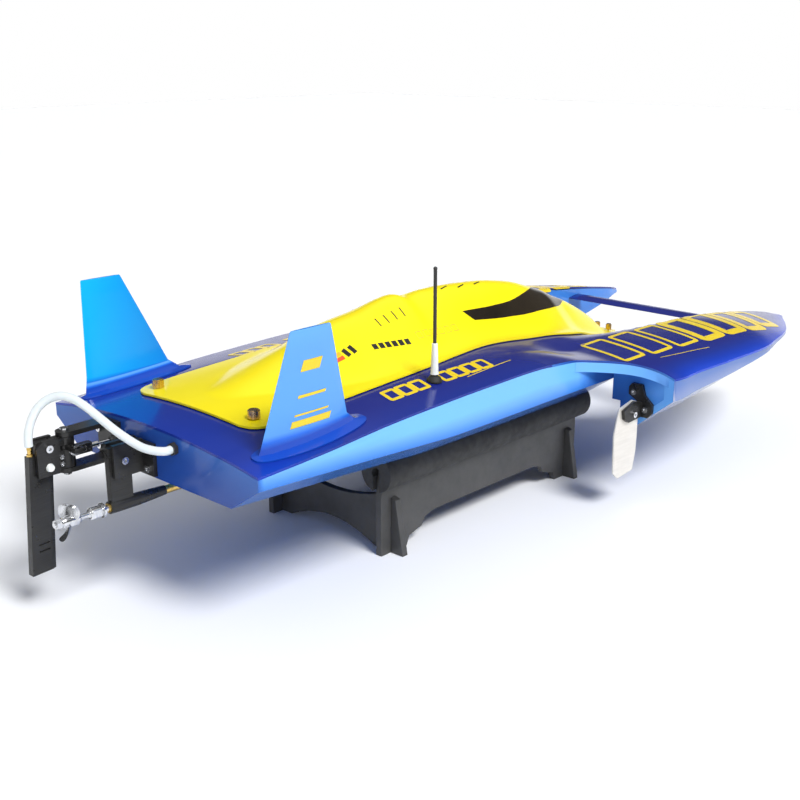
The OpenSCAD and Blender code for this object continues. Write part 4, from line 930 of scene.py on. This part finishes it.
# ---------------------------------------------------------------- hoses
def swept(name, route, diameter, body, material, sides=20, fine=6):
    """Smooth tube with a bore through the route's points. Gives the piece and its line."""
    pts = [Vector(place(p)) for p in route]
    line = []
    for k in range(len(pts) - 1):
        p0, p1, p2, p3 = pts[max(0, k - 1)], pts[k], pts[k + 1], pts[min(len(pts) - 1, k + 2)]
        for q in range(fine):
            t = q / fine
            line.append(0.5 * ((2 * p1) + (p2 - p0) * t + (2 * p0 - 5 * p1 + 4 * p2 - p3) * t * t
                               + (3 * p1 - p0 - 3 * p2 + p3) * t ** 3))
    line.append(pts[-1])
    r, wall = diameter / 2000, diameter / 6000
    frames, up = [], None
    for k, p in enumerate(line):
        d = (line[min(len(line) - 1, k + 1)] - line[max(0, k - 1)]).normalized()
        if up is None:
            up = Vector((0, 1, 0)) if abs(d.y) < 0.9 else Vector((1, 0, 0))
        up = (up - d * up.dot(d)).normalized()
        frames.append((p, up.copy(), d.cross(up)))
    verts, faces = [], []
    for radius in (r, r - wall):
        for p, u, v in frames:
            for j in range(sides):
                a = 2 * math.pi * j / sides
                verts.append(p + (u * math.cos(a) + v * math.sin(a)) * radius)
    n, m = sides, len(frames)
    for layer in (0, 1):
        for i in range(m - 1):
            for j in range(n):
                a, b = layer * n * m + i * n + j, layer * n * m + i * n + (j + 1) % n
                faces.append((a, b, b + n, a + n) if layer == 0 else (b, a, a + n, b + n))
    for i in (0, m - 1):
        for j in range(n):
            a, b = i * n + j, i * n + (j + 1) % n
            faces.append((a, b, b + n * m, a + n * m))
    mesh = bpy.data.meshes.new(name)
    mesh.from_pydata(verts, [], faces)
    mesh.materials.append(material)
    mesh.shade_smooth()
    o = bpy.data.objects.new(name, mesh)
    bpy.context.scene.collection.objects.link(o)
    bm = bmesh.new()
    bm.from_mesh(mesh)
    bmesh.ops.recalc_face_normals(bm, faces=bm.faces)
    bm.to_mesh(mesh)
    bm.free()
    if body:
        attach(o, body)
    return o, line


COOLING_D, JACKET_D = 6, 5
HOSE = [(-66, 45, 126), (-66, 45, 130), (-65, 45, 137), (-62, 44.5, 145), (-57.5, 43.5, 152),
        (-51.5, 40, 157.5), (-45.5, 34, 160), (-41, 26, 159), (-37, 17, 154.5), (-32.5, 8, 147.5),
        (-28, -2, 140), (-23, -11, 133.5), (-18, -19.5, 128.5), (-13, -27, 126.5), (-8, -32, 126),
        (-3.5, -32, 126)]
cooling_hose, cooling_line = swept("cooling_hose", HOSE, COOLING_D, None, silicone)
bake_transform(cooling_hose)
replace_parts(cooling_hose, "water_hose")

# Hoses between the transom fitting, the motor's water jacket and the speed control
SLOPE = math.radians(8)
BEND_X, BEND_R = 40, 300   # where the shaft line starts to bend up, and its radius


def on_motor(along, up):
    """Point that far along the motor's axis past the bend, and that far above the axis."""
    return (BEND_X + (BEND_R - up) * math.sin(SLOPE) + along * math.cos(SLOPE), SHAFT_Y,
            SHAFT_Z + BEND_R - (BEND_R - up) * math.cos(SLOPE) + along * math.sin(SLOPE))


RETURN_HOSE = [on_motor(208, 27.6), on_motor(208, 33.6), (282, 8, 150), (280, 8, 156), (276.5, 7.8, 161),
               (271, 7.5, 165), (264, 7, 167.5), (256, 6, 168), (243, 3, 165.5), (230, -1, 160.5),
               (215, -6, 153), (198, -11, 144.5), (178, -17, 136.5), (155, -23, 130.5), (128, -28, 127),
               (98, -31, 125.5), (65, -32, 125.5), (35, -32, 126), (5.3, -32, 126)]
FEED_HOSE = [on_motor(226, 27.6), on_motor(226, 33.6), (301.5, 7.5, 155), (304.5, 6.5, 162.5),
             (310.5, 5, 168.5), (319, 3, 171.5), (328, 0.5, 170.5), (335.5, -2, 166), (341.5, -4, 159),
             (346.5, -5.5, 150), (351, -6.5, 140.5), (356, -7.2, 131), (362, -7.7, 122), (369, -8, 114),
             (377.5, -8, 108.5), (387, -8, 105.5), (397.7, -8, 105)]
for name, route in (("return_hose", RETURN_HOSE), ("feed_hose", FEED_HOSE)):
    tube, tube_line = swept(name, route, JACKET_D, "boat", silicone)
    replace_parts(tube, "jacket_hoses")


# ---------------------------------------------------------------- battery straps
def strap(name, x, y, z):
    """Webbing band over a battery pack, thinner at its selvedges, with rounded shoulders."""
    half, high, wide = 24.9, 20.5, 16.0
    path = [(-half, q) for q in steps(0, high - 3, 8)]
    path += [(-half + 3 - 3 * math.cos(a), high - 3 + 3 * math.sin(a)) for a in steps(0.2, 1.57, 5)]
    path += [(q, high) for q in steps(-half + 5, 0, 8)]
    path += [(-u, v) for u, v in reversed(path[:-1])]
    rows = []
    for k, (u, v) in enumerate(path):
        (u0, v0), (u1, v1) = path[max(0, k - 1)], path[min(len(path) - 1, k + 1)]
        d = Vector((u1 - u0, v1 - v0)).normalized()
        inward = Vector((d.y, -d.x))
        ring = []
        for across, depth in ((0, 0.5), (0.8, 0.1), (wide / 2, 0), (wide - 0.8, 0.1), (wide, 0.5),
                              (wide, 0.8), (wide - 0.8, 1.2), (wide / 2, 1.25), (0.8, 1.2), (0, 0.8)):
            ring.append((x + across, y + u + inward.x * depth, z + v + inward.y * depth))
        rows.append(ring)
    verts, faces = loft(rows)
    return piece(name, verts, faces, "boat", [webbing], sharp=60)


PACK_Y = 57        # middle of a battery pack
STRAP_FOOT = 98.2   # lower edge of a strap
for side in (1, -1):
    for k, x in enumerate((278, 340)):
        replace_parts(strap(f"strap_{side_name(side)}_{k}", x, side * PACK_Y, STRAP_FOOT), "battery_straps")


# ---------------------------------------------------------------- propeller
PROP_X = -61
PROP_D = 37.0
DEGREES = 57.3   # in a radian


def round_shaft(x, r, angle):
    """Point at that radius and angle round the propeller's shaft."""
    return (x, SHAFT_Y + r * math.cos(angle), SHAFT_Z + r * math.sin(angle))


def propeller():
    """Two raked blades on a turned hub."""
    verts, faces = [], []

    def put(rings, cap=True):
        base = len(verts)
        v, f = loft(rings) if cap else grid(rings, True)
        verts.extend(v)
        faces.extend(tuple(k + base for k in q) for q in f)

    for turn in (96, 276):
        rings = []
        for k in range(29):
            q = k / 28
            r = mix(3, PROP_D / 2, q)
            w = 11 * math.sin(math.radians(mix(40, 172, q))) + 0.6
            pitch = math.radians(mix(62, 34, q))
            th = mix(1.3, 0.45, q)
            phi0 = mix(-10, 28, q)
            ring = []
            for s in range(24):
                a = 2 * math.pi * s / 24
                u, v = -w * math.cos(a), -th * 0.7 * math.sin(a) * (0.35 + 0.65 * math.sin(a) ** 2)
                along = u * math.cos(pitch) - v * math.sin(pitch)
                around = u * math.sin(pitch) + v * math.cos(pitch)
                phi = math.radians(phi0 + around / r * DEGREES * 0.8 + turn)
                ring.append(round_shaft(PROP_X + along * 0.62 - q * 3.15, r, phi))
            rings.append(ring)
        put(rings)
    hub = [(-7, 2.2), (-7, 3.6), (-6.4, 3.85), (-4, 4.25), (0, 4.35), (5, 4.3), (6.6, 3.7), (7, 3.3),
           (7, 2.2)]
    put([[round_shaft(PROP_X + x, r, 2 * math.pi * j / 40) for j in range(40)] for x, r in hub], cap=False)
    o = piece("propeller_cast", verts, faces, "prop_shaft", [steel], sharp=40)
    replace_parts(o, "propeller")
    return o


propeller()


# ---------------------------------------------------------------- CAD shapes with broken edges
BODY_OF = {n: b for b, names in frame["record"]["behaviour"]["bodies"].items() for n in names}
EDGES = {
    "rudder_blade": 0.35, "rudder_holder": 0.5, "rudder_bracket": 0.4, "steering_arm": 0.3,
    "strut": 0.4, "strut_bracket": 0.4, "turn_fin_bracket": 0.5, "turn_fin_blade": 0.3,
    "canard_wing": 0.3, "stand_long_panels": 0.5, "stand_cross_panels": 0.5, "drive_dog": 0.2,
    "prop_nut": 0.3, "pushrod": 0.25, "speed_control": 0.5, "radio_box": 0.6, "steering_servo": 0.4,
    "battery_packs": 1.5, "motor_mount": 0.3, "motor_can": 0.5, "pushrod_bellows": 0.2,
    "antenna_grommet": 0.2,
}
for name, width in EDGES.items():
    softened(name, width, BODY_OF[name])
foam_pads = softened("foam_tubes", 1.2, "stand")


# ---------------------------------------------------------------- stage, light and camera
FLOOR_HALF = 6      # metres
LENS = 52.38        # mm
CAMERA_AT = ((-445.1 - X_SHIFT) / 1000, -0.6579, 0.3931)
LOOKS_DOWN = 17.16  # degrees
HEADING = 42.99     # degrees from +X towards +Y


def gradient_world():
    """White near the horizon, so the picture's ground is white, and dimmer higher up, so gloss stays deep."""
    world = bpy.data.worlds.new("studio")
    world.use_nodes = True
    tree = world.node_tree
    where = tree.nodes.new("ShaderNodeTexCoord")
    split = tree.nodes.new("ShaderNodeSeparateXYZ")
    tree.links.new(where.outputs["Generated"], split.inputs[0])
    band = ramp(tree, split.outputs["Z"], [(0.0, grey(1.0)), (0.14, grey(1.0)), (0.2, grey(0.08)),
                                           (0.5, grey(0.1)), (0.75, grey(0.55))])
    tree.links.new(band.outputs["Color"], tree.nodes["Background"].inputs["Color"])
    bpy.context.scene.world = world


def area(name, where, at, size, power):
    light = bpy.data.lights.new(name, "AREA")
    light.shape = "RECTANGLE"
    light.size, light.size_y = size
    light.energy = power
    o = bpy.data.objects.new(name, light)
    o.location = where
    o.rotation_euler = (Vector(at) - Vector(where)).to_track_quat("-Z", "Y").to_euler()
    bpy.context.scene.collection.objects.link(o)


def sun(name, direction, angle, power):
    light = bpy.data.lights.new(name, "SUN")
    light.angle = math.radians(angle)
    light.energy = power
    o = bpy.data.objects.new(name, light)
    o.rotation_euler = Vector(direction).to_track_quat("-Z", "Y").to_euler()
    bpy.context.scene.collection.objects.link(o)


def stage():
    mesh = bpy.data.meshes.new("floor")
    r = FLOOR_HALF
    mesh.from_pydata([(-r, -r, 0), (r, -r, 0), (r, r, 0), (-r, r, 0)], [], [(0, 1, 2, 3)])
    mesh.materials.append(shade("floor", (0.9, 0.91, 0.93), 0.7))
    floor = bpy.data.objects.new("floor", mesh)
    bpy.context.scene.collection.objects.link(floor)
    gradient_world()
    sun("key", (0.1, 0.85, -1), 22, 3.3)
    area("left", (-1.5, -0.9, 0.9), (0, 0, 0.12), (1.1, 0.8), 2)


def camera():
    data = bpy.data.cameras.new("camera")
    data.lens = LENS
    data.sensor_width = 36
    o = bpy.data.objects.new("camera", data)
    o.location = CAMERA_AT
    o.rotation_euler = (math.radians(90 - LOOKS_DOWN), 0, math.radians(HEADING - 90))
    bpy.context.scene.collection.objects.link(o)
    bpy.context.scene.camera = o


stage()
camera()
bpy.context.scene.view_settings.view_transform = "Standard"
bpy.context.view_layer.update()
